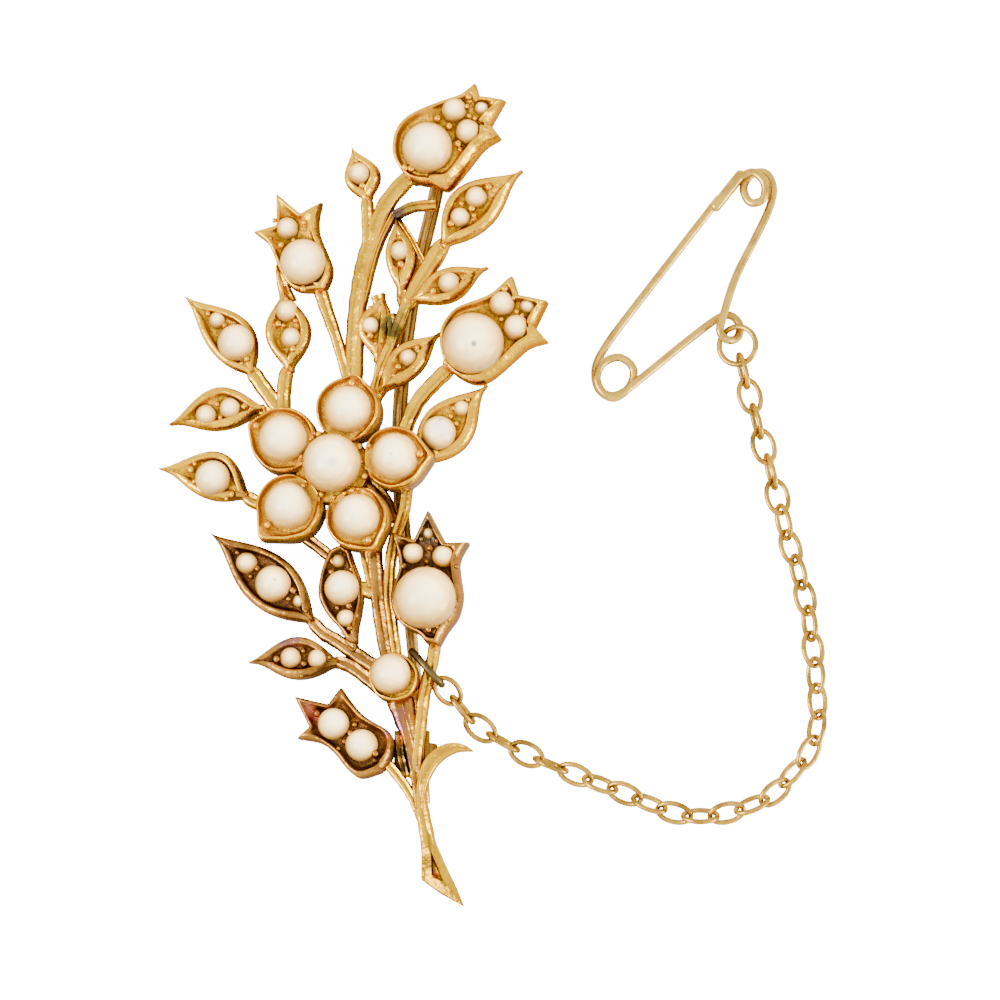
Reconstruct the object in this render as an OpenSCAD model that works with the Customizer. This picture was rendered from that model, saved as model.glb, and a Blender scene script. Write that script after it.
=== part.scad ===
// Seed pearl brooch: a gold sprig of leaves, tulips and one flower set with half pearls.
// It lies on its back, with its safety chain and a safety pin laid out beside it.
// Millimetres. The origin is under the middle of the whole, on the surface it lies on.

/* [Measured view] */
// Height of the view above the horizon, in which the places below were measured
view_height = 80; // [70:1:89]
// Side of the square view
view_side = 62.5; // [62.5]
// Lean of the sprig to its left, as it lies on its hinge, catch and leaf tips
lean = 8.6; // [7:0.1:10]

/* [Leaves] */
// Level of a leaf's floor above the back
leaf_floor = 0.55; // [0.4:0.05:0.8]
// Height of a leaf's rim above the back
leaf_rim = 1.2; // [1:0.05:1.5]
// Width of the polished rim of leaves and tulips
rim_w = 0.2; // [0.15:0.01:0.3]

/* [Tulips] */
// Level of the floor of a tulip
tulip_floor = 0.9; // [0.7:0.05:1.1]
// Height of the rim of a tulip
tulip_rim = 1.75; // [1.4:0.05:2]

/* [Flower] */
// Level of the floors of the five petal cups
petal_floor = 1.3; // [1:0.05:1.5]
// Height of the rims of the petal cups
petal_rim = 2.3; // [1.9:0.05:2.6]
// Radius of the disc under the middle pearl
disc_r = 2.3; // [2:0.05:2.5]
// Height of that disc
disc_top = 1.5; // [1.3:0.05:1.7]

/* [Stems] */
// Thickness of the stems
stem_t = 0.95; // [0.7:0.05:1.2]
// Diameter of the wire soldered along the back
back_wire_d = 0.4; // [0.3:0.05:0.6]

/* [Pearls] */
// Clearance round each pearl in its setting
pearl_gap = 0.05; // [0.04:0.01:0.08]
// Depth of a pearl's flat back below its middle, as a share of its radius
pearl_cut = 0.35; // [0.2:0.05:0.6]

/* [Hinge, pin and catch] */
// Diameter of the pin
pin_d = 0.76; // [0.6:0.02:0.9]
// Outer radius of the knuckle and of the hinge ears
knuckle_r = 0.62; // [0.55:0.01:0.7]
// Length of the knuckle
knuckle_l = 0.9; // [0.7:0.05:1.2]
// Radius of the rivet
rivet_r = 0.22; // [0.18:0.01:0.25]
// Clearance between knuckle, ears and rivet
hinge_gap = 0.08; // [0.06:0.01:0.1]
// Thickness of each hinge ear and of the catch
sheet_t = 0.35; // [0.3:0.05:0.45]
// Outer radius of the catch's hook
hook_r = 0.85; // [0.8:0.01:0.95]

/* [Chain] */
// Number of chain links
link_count = 32; // [32]
// Outer length of a link
link_l = 2.4; // [2.25:0.01:2.45]
// Outer width of a link
link_w = 1.6; // [1.45:0.01:1.65]
// Wire of a link
link_wire = 0.25; // [0.24:0.01:0.3]
// Outer length of the link round the stem
stem_link_l = 3.2; // [3:0.05:3.4]
// Outer width of the link round the stem
stem_link_w = 2.15; // [1.9:0.05:2.3]
// Wire of the link round the stem
stem_link_wire = 0.36; // [0.3:0.02:0.4]

/* [Jump ring and safety pin] */
// Outer radius of the jump ring
ring_r = 1.36; // [1.3:0.01:1.45]
// Wire of the jump ring
ring_wire = 0.38; // [0.3:0.01:0.42]
// Wire of the safety pin
safety_wire = 0.54; // [0.5:0.01:0.58]

/* [Hidden] */
centre = view_side / 2;
shift = [0.47, 0.37];
gold = [0.85, 0.62, 0.22];
pale_gold = [0.90, 0.78, 0.58];
grey_metal = [0.48, 0.45, 0.38];
pearl_white = [0.93, 0.90, 0.85];

// Leaves. Places are read in the view, right of its left edge and down from its top edge.
// name, base, tip, bulge to the left going to the tip, bulge to the right, where it is widest
LEAVES = [
    ["top",      [27.5, 15.3], [32.55, 10.75], 1.95, 1.15, 0.43],
    ["fold",     [25.0, 18.5], [24.7, 13.4],   0.75, 1.15, 0.50],
    ["wing",     [25.5, 18.8], [30.45, 16.75], 0.85, 1.15, 0.48],
    ["inner",    [23.55, 22.6], [23.95, 18.2], 1.50, 0.55, 0.50],
    ["cross",    [23.5, 24.6], [27.45, 20.75], 1.20, 0.95, 0.50],
    ["right",    [25.9, 29.0], [30.4, 24.1],   1.45, 1.55, 0.42],
    ["bud",      [22.9, 12.4], [21.95, 9.2],   0.95, 1.10, 0.40],
    ["twin",     [18.0, 23.2], [17.7, 18.0],   1.25, 1.40, 0.50],
    ["curl",     [15.7, 23.3], [11.6, 18.7],   1.15, 1.95, 0.38],
    ["west",     [16.5, 25.5], [10.5, 26.5],   0.95, 1.75, 0.45],
    ["low_west", [15.4, 31.0], [9.9, 29.4],    1.00, 2.00, 0.38],
    ["long",     [19.5, 38.85], [13.3, 33.5],  1.65, 1.95, 0.42],
    ["low",      [21.2, 41.5], [15.55, 41.45], 1.10, 1.55, 0.45],
    ["upright",  [21.55, 40.1], [21.4, 34.4],  1.45, 1.20, 0.50]
];

// Tulips: base, left tip, left notch, middle tip, right notch, right tip,
// bulge of the left and of the right side, floor, rim
TULIPS = [
    ["top",   [26.1, 11.6], [29.65, 5.25], [29.8, 5.95], [31.5, 6.2], [30.7, 7.75],
        [31.2, 8.55], 3.0, 1.15, tulip_floor, tulip_rim],
    ["right", [27.6, 22.8], [31.95, 17.4], [32.35, 18.55], [34.05, 18.8], [33.4, 20.4],
        [34.1, 21.4], 1.85, 1.80, tulip_floor, tulip_rim],
    ["left",  [19.4, 18.5], [15.9, 14.5], [17.25, 13.9], [17.25, 12.2], [18.8, 13.4],
        [20.05, 12.65], 0.85, 1.25, 0.7, 1.45],
    ["low",   [26.9, 40.0], [24.5, 33.45], [25.9, 33.7], [26.7, 32.0], [27.9, 34.0],
        [29.3, 34.0], 1.60, 1.10, tulip_floor, tulip_rim],
    ["foot",  [24.3, 48.3], [18.75, 46.2], [19.4, 45.5], [18.55, 43.65], [20.5, 44.05],
        [21.25, 43.2], 0.90, 1.30, 0.6, 1.35]
];

// Petal cups of the flower: middle, radius of the cup, tip
PETALS = [
    [[21.75, 25.6], 2.00, [22.2, 23.35]],
    [[24.65, 28.6], 2.00, [27.15, 28.45]],
    [[22.3, 32.35], 2.00, [23.5, 34.5]],
    [[18.1, 31.7], 2.05, [16.2, 33.75]],
    [[17.7, 27.5], 2.05, [15.45, 26.5]]
];

// Stems: width at the start, width at the end, places along it
STEMS = [
    [1.00, 0.80, [[22.1, 24.0], [22.2, 21.4], [22.35, 19.3], [22.6, 17.4], [22.9, 16.0],
        [23.4, 14.5], [24.2, 12.6], [25.3, 10.8]]],
    [0.70, 0.60, [[22.9, 12.2], [23.0, 13.5], [23.1, 15.2]]],
    [0.45, 0.45, [[23.3, 16.6], [23.8, 14.9], [24.6, 13.3]]],
    [0.50, 0.50, [[24.7, 13.3], [25.9, 12.75], [27.2, 12.55]]],
    [1.00, 0.65, [[27.7, 15.0], [26.8, 16.5], [26.0, 17.8], [25.4, 18.9]]],
    [0.65, 0.80, [[25.4, 18.6], [24.6, 20.9], [23.7, 23.0], [23.2, 25.0]]],
    [0.75, 0.70, [[27.9, 22.9], [26.8, 23.9], [25.8, 25.1], [25.1, 26.9]]],
    [0.90, 0.80, [[26.0, 28.8], [25.4, 29.6]]],
    [0.50, 0.55, [[19.5, 18.3], [20.3, 19.2], [21.0, 21.2], [21.7, 23.6]]],
    [0.90, 0.70, [[18.0, 22.9], [17.85, 24.1], [17.8, 25.8]]],
    [0.75, 0.60, [[15.6, 23.0], [16.4, 24.0], [17.5, 25.4]]],
    [0.75, 0.80, [[16.1, 25.6], [17.2, 25.9]]],
    [0.80, 0.90, [[15.1, 30.8], [16.1, 31.4], [17.2, 31.2]]],
    [0.75, 0.90, [[19.3, 38.6], [20.1, 39.5], [21.1, 40.1], [22.4, 41.0], [23.6, 41.8]]],
    [0.80, 0.80, [[21.0, 41.5], [22.0, 42.0], [23.1, 42.8], [24.1, 43.5]]],
    [0.50, 0.50, [[21.5, 39.9], [22.1, 40.6]]],
    [0.40, 0.40, [[22.5, 36.5], [23.4, 36.6]]],
    [0.55, 0.55, [[18.9, 33.7], [20.5, 34.8]]],
    [0.75, 0.80, [[24.0, 48.1], [25.1, 49.4], [25.9, 50.6]]],
    [0.75, 0.70, [[27.15, 39.8], [27.0, 41.1], [26.65, 42.5], [26.4, 43.8], [26.1, 46.7], [25.9, 48.6]]],
    [0.90, 0.95, [[23.1, 33.4], [23.5, 35.4], [23.9, 37.6], [24.3, 40.0], [24.6, 42.2], [24.9, 44.2],
        [25.3, 46.3], [25.8, 48.5], [26.1, 50.2]]],
    [0.60, 0.65, [[25.1, 27.4], [25.3, 29.5], [25.1, 31.8], [24.5, 34.1], [24.1, 36.8], [24.0, 38.0]]],
    [0.90, 1.00, [[26.1, 50.0], [26.5, 51.8], [26.7, 53.2]]]
];

// Curled leaf and foot: flat pieces with no tray
CURLED_LEAF = ["stem_leaf", [26.3, 49.9], [29.45, 46.8], 1.85, -0.85, 0.42];
FOOT = [[26.1, 52.0], [26.25, 53.3], [26.3, 54.9], [28.9, 56.5], [28.3, 55.3], [27.7, 54.0], [27.3, 52.0]];

// Pearls: name, place, radius, level of the floor under it
PEARLS = [
    ["pearl_tulip_top_large",   [26.70, 9.20],  1.56, tulip_floor],
    ["pearl_tulip_top_upper",   [28.38, 6.81],  0.78, tulip_floor],
    ["pearl_tulip_top_lower",   [29.25, 8.19],  0.78, tulip_floor],
    ["pearl_leaf_top_outer",    [29.75, 12.31], 0.67, leaf_floor],
    ["pearl_leaf_top_inner",    [28.75, 13.56], 0.61, leaf_floor],
    ["pearl_leaf_fold",         [25.00, 15.69], 0.64, leaf_floor],
    ["pearl_leaf_wing",         [28.06, 17.69], 0.68, leaf_floor],
    ["pearl_leaf_inner",        [23.13, 20.38], 0.56, leaf_floor],
    ["pearl_leaf_cross",        [25.50, 22.38], 0.55, leaf_floor],
    ["pearl_tulip_right_large", [29.56, 21.50], 1.91, tulip_floor],
    ["pearl_tulip_right_upper", [31.38, 19.00], 0.80, tulip_floor],
    ["pearl_tulip_right_lower", [32.25, 20.50], 0.80, tulip_floor],
    ["pearl_leaf_right",        [27.44, 27.13], 1.09, leaf_floor],
    ["pearl_bud",               [22.44, 10.81], 0.70, leaf_floor],
    ["pearl_tulip_left_large",  [18.94, 16.38], 1.45, 0.7],
    ["pearl_tulip_left_small",  [17.94, 14.25], 0.69, 0.7],
    ["pearl_leaf_twin_upper",   [17.94, 19.44], 0.72, leaf_floor],
    ["pearl_leaf_twin_lower",   [18.19, 21.13], 0.64, leaf_floor],
    ["pearl_leaf_curl",         [14.75, 21.44], 1.15, leaf_floor],
    ["pearl_leaf_west_outer",   [12.88, 26.00], 0.66, leaf_floor],
    ["pearl_leaf_west_inner",   [14.38, 25.56], 0.66, leaf_floor],
    ["pearl_leaf_low_west",     [13.31, 29.94], 1.11, leaf_floor],
    ["pearl_flower_middle",     [20.75, 29.00], 1.82, disc_top],
    ["pearl_petal_top",         [21.75, 25.63], 1.50, petal_floor],
    ["pearl_petal_right",       [24.69, 28.63], 1.50, petal_floor],
    ["pearl_petal_low_right",   [22.31, 32.38], 1.47, petal_floor],
    ["pearl_petal_low_left",    [18.06, 31.69], 1.52, petal_floor],
    ["pearl_petal_left",        [17.69, 27.50], 1.52, petal_floor],
    ["pearl_leaf_long_outer",   [15.44, 35.25], 0.67, leaf_floor],
    ["pearl_leaf_long_middle",  [17.09, 36.56], 1.13, leaf_floor],
    ["pearl_leaf_low_outer",    [18.19, 41.19], 0.65, leaf_floor],
    ["pearl_leaf_low_inner",    [19.88, 41.25], 0.62, leaf_floor],
    ["pearl_leaf_upright_large", [21.41, 36.81], 1.09, leaf_floor],
    ["pearl_leaf_upright_low",  [21.63, 38.72], 0.57, leaf_floor],
    ["pearl_tulip_low_large",   [26.59, 37.44], 1.94, tulip_floor],
    ["pearl_tulip_low_left",    [25.81, 34.63], 0.66, tulip_floor],
    ["pearl_tulip_low_right",   [27.75, 34.81], 0.70, tulip_floor],
    ["pearl_collet",            [24.44, 42.19], 1.28, 1.0],
    ["pearl_tulip_foot_outer",  [20.88, 45.31], 0.98, 0.6],
    ["pearl_tulip_foot_inner",  [22.63, 46.63], 1.01, 0.6]
];
SEEDS = [
    ["tulip_top",    [30.13, 6.69],  0.46, tulip_floor],
    ["tulip_right",  [33.00, 19.13], 0.49, tulip_floor],
    ["leaf_right",   [28.88, 25.56], 0.53, leaf_floor],
    ["leaf_curl",    [13.56, 20.00], 0.52, leaf_floor],
    ["leaf_long",    [18.75, 37.63], 0.41, leaf_floor],
    ["leaf_upright", [21.19, 35.13], 0.42, leaf_floor],
    ["tulip_low",    [26.81, 33.38], 0.38, tulip_floor]
];

// Round collet low on the stem: middle, outer radius, floor, rim
COLLET = [[24.56, 42.3], 1.56, 1.0, 1.9];

// Places along the bowed pin, from its hinge to its tip
PIN_LINE = [[27.4, 10.75], [26.9, 13.2], [26.0, 17.0], [25.35, 21.0], [24.95, 25.0], [24.85, 29.0],
    [25.15, 33.5], [25.6, 38.5], [26.1, 43.5], [26.5, 47.3], [26.85, 50.3]];
CATCH_AT = [26.5, 47.3];
// The wire along the back ends at this place of the list
back_wire_end = 7;

// Middle line of the chain, with the height of each place above the surface
CHAIN_LINE = [[28.0, 43.25, 2.5], [28.95, 44.45, 1.55], [30.2, 45.7, 1.0], [33.1, 47.3, 0.8],
    [36.0, 48.5, 0.8], [39.1, 49.7, 0.8], [42.2, 50.9, 0.8], [44.2, 51.05, 0.8], [46.0, 50.7, 0.8],
    [48.2, 49.75, 0.8], [49.6, 48.2, 0.8], [50.8, 46.5, 0.8], [51.05, 44.0, 0.8], [50.75, 40.4, 0.8],
    [50.2, 37.0, 0.8], [49.2, 33.6, 0.8], [48.3, 30.0, 0.8], [47.4, 26.8, 0.8], [46.45, 23.2, 0.8]];

STEM_LINK_AT = [26.7, 41.8];
RING_AT = [46.1, 21.6];

// Middle line of the safety pin's wire, with its height, from its point to its sheath
SAFETY_LINE = [[45.0, 12.3, 0.50], [42.6, 15.4, 0.35], [39.9, 18.9, 0.30], [38.1, 21.3, 0.30],
    [37.25, 22.9, 0.30], [37.4, 24.3, 0.30], [38.4, 24.9, 0.35], [39.4, 24.1, 0.45],
    [39.55, 23.0, 0.60], [38.7, 22.35, 0.80], [37.65, 22.75, 0.98], [37.3, 23.7, 1.0],
    [37.75, 24.6, 1.0], [38.75, 24.65, 1.0], [40.4, 23.4, 0.80], [43.1, 21.2, 0.45],
    [44.95, 19.85, 0.30], [45.75, 19.75, 0.30], [46.25, 20.35, 0.33], [46.1, 21.1, 0.55],
    [45.5, 21.25, 0.95], [45.0, 20.7, 1.15], [45.25, 19.6, 1.15], [46.0, 17.3, 0.9],
    [47.2, 14.9, 0.6], [48.1, 13.0, 0.4], [48.35, 11.7, 0.3], [47.9, 10.75, 0.3],
    [47.0, 10.85, 0.35], [46.5, 11.7, 0.5], [46.9, 12.6, 0.7], [47.7, 12.4, 0.9],
    [47.8, 11.4, 1.0], [47.1, 10.7, 0.95], [46.3, 11.0, 0.8]];

// Height above the surface of a place on the sprig, u right of its middle and w above its back
function height(u, w) = rest_lift + u * sin(lean) + w * cos(lean);
// A measured place as a place on the sprig's own plane, seen at w above its back
function plan(p, w) =
    let (u = p[0] - centre + w * tan(lean))
    [u, centre - p[1] - height(u, w) * tan(90 - view_height)];
function plans(points, w) = [for (p = points) plan(p, w)];
// A measured place of what lies beside the sprig, at height z above the surface
function laid(p, z) = [(p[0] - centre) * cos(lean), centre - p[1] - z * tan(90 - view_height), z];
// Level of a round part of radius r, so that its lower edge, measured at u, meets the surface
function seated(u, r) = cos(lean) * (r * cos(lean) - rest_lift - u * sin(lean));

tip_u = LEAVES[10][2][0] - centre + leaf_rim * tan(lean);
rest_lift = -tip_u * sin(lean);

function unit(v) = v / norm(v);
// A point on the smooth curve through p1 and p2
function curve(p0, p1, p2, p3, t) = 0.5 * (2 * p1 + (p2 - p0) * t
    + (2 * p0 - 5 * p1 + 4 * p2 - p3) * t * t + (3 * p1 - p0 - 3 * p2 + p3) * t * t * t);
function smooth(points, steps) =
    let (last = len(points) - 1)
    concat([for (i = [0:last - 1], k = [0:steps - 1])
        curve(points[max(i - 1, 0)], points[i], points[i + 1], points[min(i + 2, last)], k / steps)],
        [points[last]]);
// Length along a line up to each of its points
function lengths(points, i = 0, sum = 0, out = []) =
    i == len(points) - 1 ? concat(out, [sum])
    : lengths(points, i + 1, sum + norm(points[i + 1] - points[i]), concat(out, [sum]));
// The point at length s along a line
function at_length(points, sums, s) =
    let (i = max([for (k = [0:len(points) - 2]) if (sums[k] <= s) k]))
    points[i] + (points[i + 1] - points[i]) * (s - sums[i]) / (sums[i + 1] - sums[i]);

// One side of a leaf from its base to its tip; a positive bulge is to the left
function leaf_side(base, tip, bulge, widest, steps) =
    let (along = tip - base, left = [along[1], -along[0]] / norm(along), bend = ln(0.5) / ln(widest))
    [for (i = [0:steps]) let (t = i / steps)
        base + t * along + left * bulge * pow(sin(180 * pow(t, bend)), 1.15)];
function reversed(points) = [for (i = [len(points) - 1:-1:0]) points[i]];
function leaf_outline(leaf, steps = 9) = concat(
    leaf_side(leaf[1], leaf[2], leaf[3], leaf[5], steps),
    [for (i = [steps - 1:-1:1]) leaf_side(leaf[1], leaf[2], -leaf[4], leaf[5], steps)[i]]);
function tulip_outline(t, steps = 9) = concat(
    leaf_side(t[1], t[2], t[7], 0.3, steps),
    [t[3], t[4], t[5]],
    [for (i = [steps:-1:1]) leaf_side(t[1], t[6], -t[8], 0.3, steps)[i]]);
// A round cup drawn out to a point
function petal_outline(p) =
    let (aim = atan2(p[2][1] - p[0][1], p[2][0] - p[0][0]))
    concat([p[2]], [for (a = [36:18:324]) p[0] + p[1] * [cos(aim + a), sin(aim + a)]]);

// A tube of round section along points, closed by flat ends or joined into a ring
module tube(points, radii, up, sides, ring = false) {
    count = len(points);
    last = count - 1;
    loops = [for (i = [0:last])
        let (before = ring ? points[(i + last) % count] : points[max(i - 1, 0)],
            after = ring ? points[(i + 1) % count] : points[min(i + 1, last)],
            side = unit(cross(after - before, up)),
            top = unit(cross(side, after - before)))
        for (k = [0:sides - 1])
            points[i] + radii[i] * (cos(360 * k / sides) * side + sin(360 * k / sides) * top)];
    walls = [for (i = [0:(ring ? last : last - 1)], k = [0:sides - 1])
        let (a = i * sides, b = ((i + 1) % count) * sides, n = (k + 1) % sides)
        each [[a + k, a + n, b + k], [a + n, b + n, b + k]]];
    caps = ring ? [] : [[for (k = [sides - 1:-1:0]) k], [for (k = [0:sides - 1]) last * sides + k]];
    polyhedron(loops, concat(walls, caps), 4);
}

// A flat oval link along X, its middle at the origin
module oval_link(length, width, wire, steps, sides) {
    tube([for (i = [0:steps - 1]) let (a = 360 * i / steps)
        [(length - wire) / 2 * cos(a), (width - wire) / 2 * sin(a), 0]],
        [for (i = [0:steps - 1]) wire / 2], [0, 0, 1], sides, true);
}

// Stands the sprig's own plane in the place where it rests
module resting() translate([0, 0, rest_lift]) rotate([0, -lean, 0]) children();
module shifted() translate([shift[0], shift[1], 0]) children();

// A plate with a raised rim round a sunk floor
module tray(points, floor_h, rim_h) {
    difference() {
        linear_extrude(rim_h) polygon(points);
        translate([0, 0, floor_h]) linear_extrude(rim_h) offset(delta = -rim_w) polygon(points);
    }
}
// A band along points, w0 wide at its start and w1 at its end
function band(points, w0, w1) =
    let (last = len(points) - 1,
        sides = [for (i = [0:last])
            let (along = points[min(i + 1, last)] - points[max(i - 1, 0)],
                half = (w0 + (w1 - w0) * i / last) / 2)
            half * [-along[1], along[0]] / norm(along)])
    concat([for (i = [0:last]) points[i] + sides[i]], [for (i = [last:-1:0]) points[i] - sides[i]]);
module stem(row) {
    points = plans(smooth(row[2], 2), stem_t);
    translate([0, 0, 0.05]) linear_extrude(stem_t - 0.05) polygon(band(points, row[0], row[1]));
}
module petal_cup(p) {
    points = plans(petal_outline(p), petal_rim);
    translate([0, 0, 0.2]) tray(points, petal_floor - 0.2, petal_rim - 0.2);
}
module collet() {
    at = plan(COLLET[0], COLLET[3]);
    translate([at[0], at[1], 0.1]) difference() {
        cylinder(r = COLLET[1], h = COLLET[3] - 0.1, $fn = 24);
        translate([0, 0, COLLET[2] - 0.1]) cylinder(r = COLLET[1] - rim_w, h = 2, $fn = 24);
    }
}
module flower_disc() {
    at = plan([20.75, 29.2], disc_top);
    translate([at[0], at[1], 0.2]) cylinder(r = disc_r, h = disc_top - 0.2, $fn = 24);
}
module foot() {
    points = plans(FOOT, stem_t);
    translate([0, 0, 0.05]) linear_extrude(stem_t - 0.05) polygon(points);
}
// What is cut away so that no setting touches its pearl
module pearl_seats() {
    sides = 12;
    for (p = concat(PEARLS, SEEDS)) {
        at = plan(p[1], p[3] + pearl_cut * p[2]);
        translate([at[0], at[1], p[3] - 0.03])
            cylinder(r = (p[2] + pearl_gap) / cos(180 / sides), h = 3, $fn = sides);
    }
}

// Hinge and catch
hinge_at = plan(PIN_LINE[0], 0);
pin_end = plan(PIN_LINE[len(PIN_LINE) - 1], 0);
pin_turn = atan2(pin_end[1] - hinge_at[1], pin_end[0] - hinge_at[0]);
ear_far = knuckle_l / 2 + hinge_gap + sheet_t;
axis_w = seated(hinge_at[0] - ear_far, knuckle_r);
catch_flat = plan(CATCH_AT, 0);
hook_drop = sqrt(pow(hook_r, 2) - pow(hook_r - sheet_t, 2));
hook_w = seated(catch_flat[0] - hook_r + sheet_t, hook_drop);
pin_points = [for (p = smooth(PIN_LINE, 2))
    let (share = (p[1] - PIN_LINE[0][1]) / (CATCH_AT[1] - PIN_LINE[0][1]),
        w = axis_w + (hook_w - axis_w) * share,
        q = plan(p, w))
    [q[0], q[1], w]];
hinge = pin_points[0];

module on_hinge() translate(hinge) rotate([0, 0, pin_turn]) children();
module hinge_ears() {
    ear_y = knuckle_l / 2 + hinge_gap;
    on_hinge() {
        for (side = [-1, 1]) {
            y = side > 0 ? ear_y : -ear_y - sheet_t;
            translate([0, y, 0]) {
                translate([0, sheet_t, 0]) rotate([90, 0, 0]) cylinder(r = knuckle_r, h = sheet_t, $fn = 20);
                translate([-knuckle_r, 0, 0]) cube([2 * knuckle_r, sheet_t, 0.3 - axis_w]);
            }
        }
        translate([0, ear_y + sheet_t, 0]) rotate([90, 0, 0])
            cylinder(r = rivet_r, h = 2 * (ear_y + sheet_t), $fn = 20);
    }
}
// An open hook, its mouth away from the sprig's back
module catch() {
    at = pin_points[18];
    length = 1.4;
    translate([at[0], at[1], hook_w]) rotate([0, 0, pin_turn]) translate([-length / 2, 0, 0]) {
        rotate([0, 90, 0]) difference() {
            cylinder(r = hook_r, h = length, $fn = 24);
            translate([0, 0, -1]) cylinder(r = hook_r - sheet_t, h = length + 2, $fn = 24);
            translate([0, -(hook_r - sheet_t), -1]) cube([2, 2 * (hook_r - sheet_t), length + 2]);
        }
        translate([0, -sheet_t, hook_r - sheet_t]) cube([length, 2 * sheet_t, 0.35 - hook_w - hook_r + sheet_t]);
        translate([-0.6, -1.6, -hook_w - 0.3]) cube([2.6, 2.2, 0.35]);
    }
}
module back_wire() {
    line = [for (i = [0:back_wire_end]) plan(PIN_LINE[i], 0) + [0.35, 0]];
    translate([0, 0, -0.3]) linear_extrude(back_wire_d) polygon(band(line, back_wire_d, back_wire_d));
}

module spray() {
    color(gold) shifted() resting() difference() {
        union() {
            for (leaf = LEAVES) tray(plans(leaf_outline(leaf), leaf_rim), leaf_floor, leaf_rim);
            for (t = TULIPS) tray(plans(tulip_outline(t), t[10]), t[9], t[10]);
            for (p = PETALS) petal_cup(p);
            for (s = STEMS) stem(s);
            linear_extrude(stem_t) polygon(plans(leaf_outline(CURLED_LEAF), stem_t));
            flower_disc();
            collet();
            foot();
            back_wire();
            hinge_ears();
            catch();
        }
        pearl_seats();
    }
}
module brooch_pin() {
    radii = [for (i = [0:len(pin_points) - 1])
        i < len(pin_points) - 4 ? pin_d / 2 : pin_d / 2 * (0.2 + 0.8 * (len(pin_points) - 1 - i) / 4)];
    start = [hinge[0] + (knuckle_r - 0.15) * cos(pin_turn), hinge[1] + (knuckle_r - 0.15) * sin(pin_turn),
        hinge[2]];
    points = concat([start], [for (i = [1:len(pin_points) - 1]) pin_points[i]]);
    color(pale_gold) shifted() resting() {
        difference() {
            union() {
                tube(points, radii, [0, 0, 1], 8);
                on_hinge() rotate([90, 0, 0]) cylinder(r = knuckle_r - 0.05, h = knuckle_l, center = true, $fn = 48);
            }
            on_hinge() rotate([90, 0, 0])
                cylinder(r = rivet_r + hinge_gap, h = knuckle_l + 1, center = true, $fn = 48);
        }
    }
}
module pearl(p) {
    middle = p[3] + pearl_cut * p[2] + 0.03;
    at = plan(p[1], middle);
    color(pearl_white) shifted() resting() translate([at[0], at[1], middle]) intersection() {
        sphere(r = p[2], $fn = 48);
        translate([-2 * p[2], -2 * p[2], -pearl_cut * p[2]]) cube(4 * p[2]);
    }
}
module seed_pearls() {
    for (p = SEEDS) pearl(p);
}
// The long link stands round the stem, aimed at the first chain link
stem_link_mid = let (q = plan(STEM_LINK_AT, stem_t / 2)) [q[0], q[1], stem_t / 2];
module stem_link() {
    color(grey_metal) shifted() resting() translate(stem_link_mid) rotate([0, 0, -49]) rotate([90, 0, 0])
        oval_link(stem_link_l, stem_link_w, stem_link_wire, 16, 8);
}

chain_path = smooth([for (p = CHAIN_LINE) laid(p, p[2])], 6);
chain_sums = lengths(chain_path);
chain_total = chain_sums[len(chain_sums) - 1] - 0.001;
function link_place(i) = at_length(chain_path, chain_sums, chain_total * i / (link_count - 1));
// Roll of a link about its own length: neighbours are a quarter turn apart
function link_roll(i) = (i % 2) * 90 + (i < 6 ? 20 : i < 20 ? 42 : i < 26 ? 30 : 12);
module chain() {
    color(gold) shifted() for (i = [0:link_count - 1]) {
        at = link_place(i);
        to = link_place(min(i + 1, link_count - 1)) - link_place(max(i - 1, 0));
        translate(at)
            rotate([link_roll(i), -asin(to[2] / norm(to)), atan2(to[1], to[0])])
                oval_link(link_l, link_w, link_wire, 14, 6);
    }
}
module jump_ring() {
    at = laid(RING_AT, 0.82);
    color(gold) shifted() translate(at) rotate([2, -16.7, 0]) rotate_extrude($fn = 64)
        translate([ring_r - ring_wire / 2, 0]) circle(d = ring_wire, $fn = 24);
}
module safety_pin() {
    points = smooth([for (p = SAFETY_LINE) laid(p, p[2])], 2);
    color(pale_gold) shifted() {
        tube(points, [for (p = points) safety_wire / 2], [0, 0, 1], 8);
        hull() {
            for (end = [[[46.3, 10.9], 0.75], [[44.75, 12.85], 0.6]]) {
                translate(laid(end[0], end[1])) sphere(r = 0.36, $fn = 10);
            }
        }
    }
}

spray();
brooch_pin();
seed_pearls();
stem_link();
chain();
jump_ring();
safety_pin();
for (p = PEARLS) {
    pearl(p);
}
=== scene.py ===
# Seed pearl sprig brooch with its safety chain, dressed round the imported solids.
# The solids are measured in millimetres, and so is everything here until a piece is placed.
import math
import random

import bpy
from mathutils import Matrix, Vector


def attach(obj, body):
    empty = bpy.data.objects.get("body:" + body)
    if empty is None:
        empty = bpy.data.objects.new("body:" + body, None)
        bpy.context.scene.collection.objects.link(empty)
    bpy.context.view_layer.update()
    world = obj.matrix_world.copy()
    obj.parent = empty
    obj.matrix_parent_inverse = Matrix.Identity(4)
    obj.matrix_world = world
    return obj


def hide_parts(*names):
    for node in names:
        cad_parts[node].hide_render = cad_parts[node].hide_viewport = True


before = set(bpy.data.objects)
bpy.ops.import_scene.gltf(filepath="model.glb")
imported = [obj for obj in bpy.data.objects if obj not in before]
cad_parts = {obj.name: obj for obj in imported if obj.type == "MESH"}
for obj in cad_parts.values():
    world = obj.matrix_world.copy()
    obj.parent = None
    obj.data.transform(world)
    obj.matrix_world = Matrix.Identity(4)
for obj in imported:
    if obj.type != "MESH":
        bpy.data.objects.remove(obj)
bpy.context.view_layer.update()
print("frame loaded")

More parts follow.
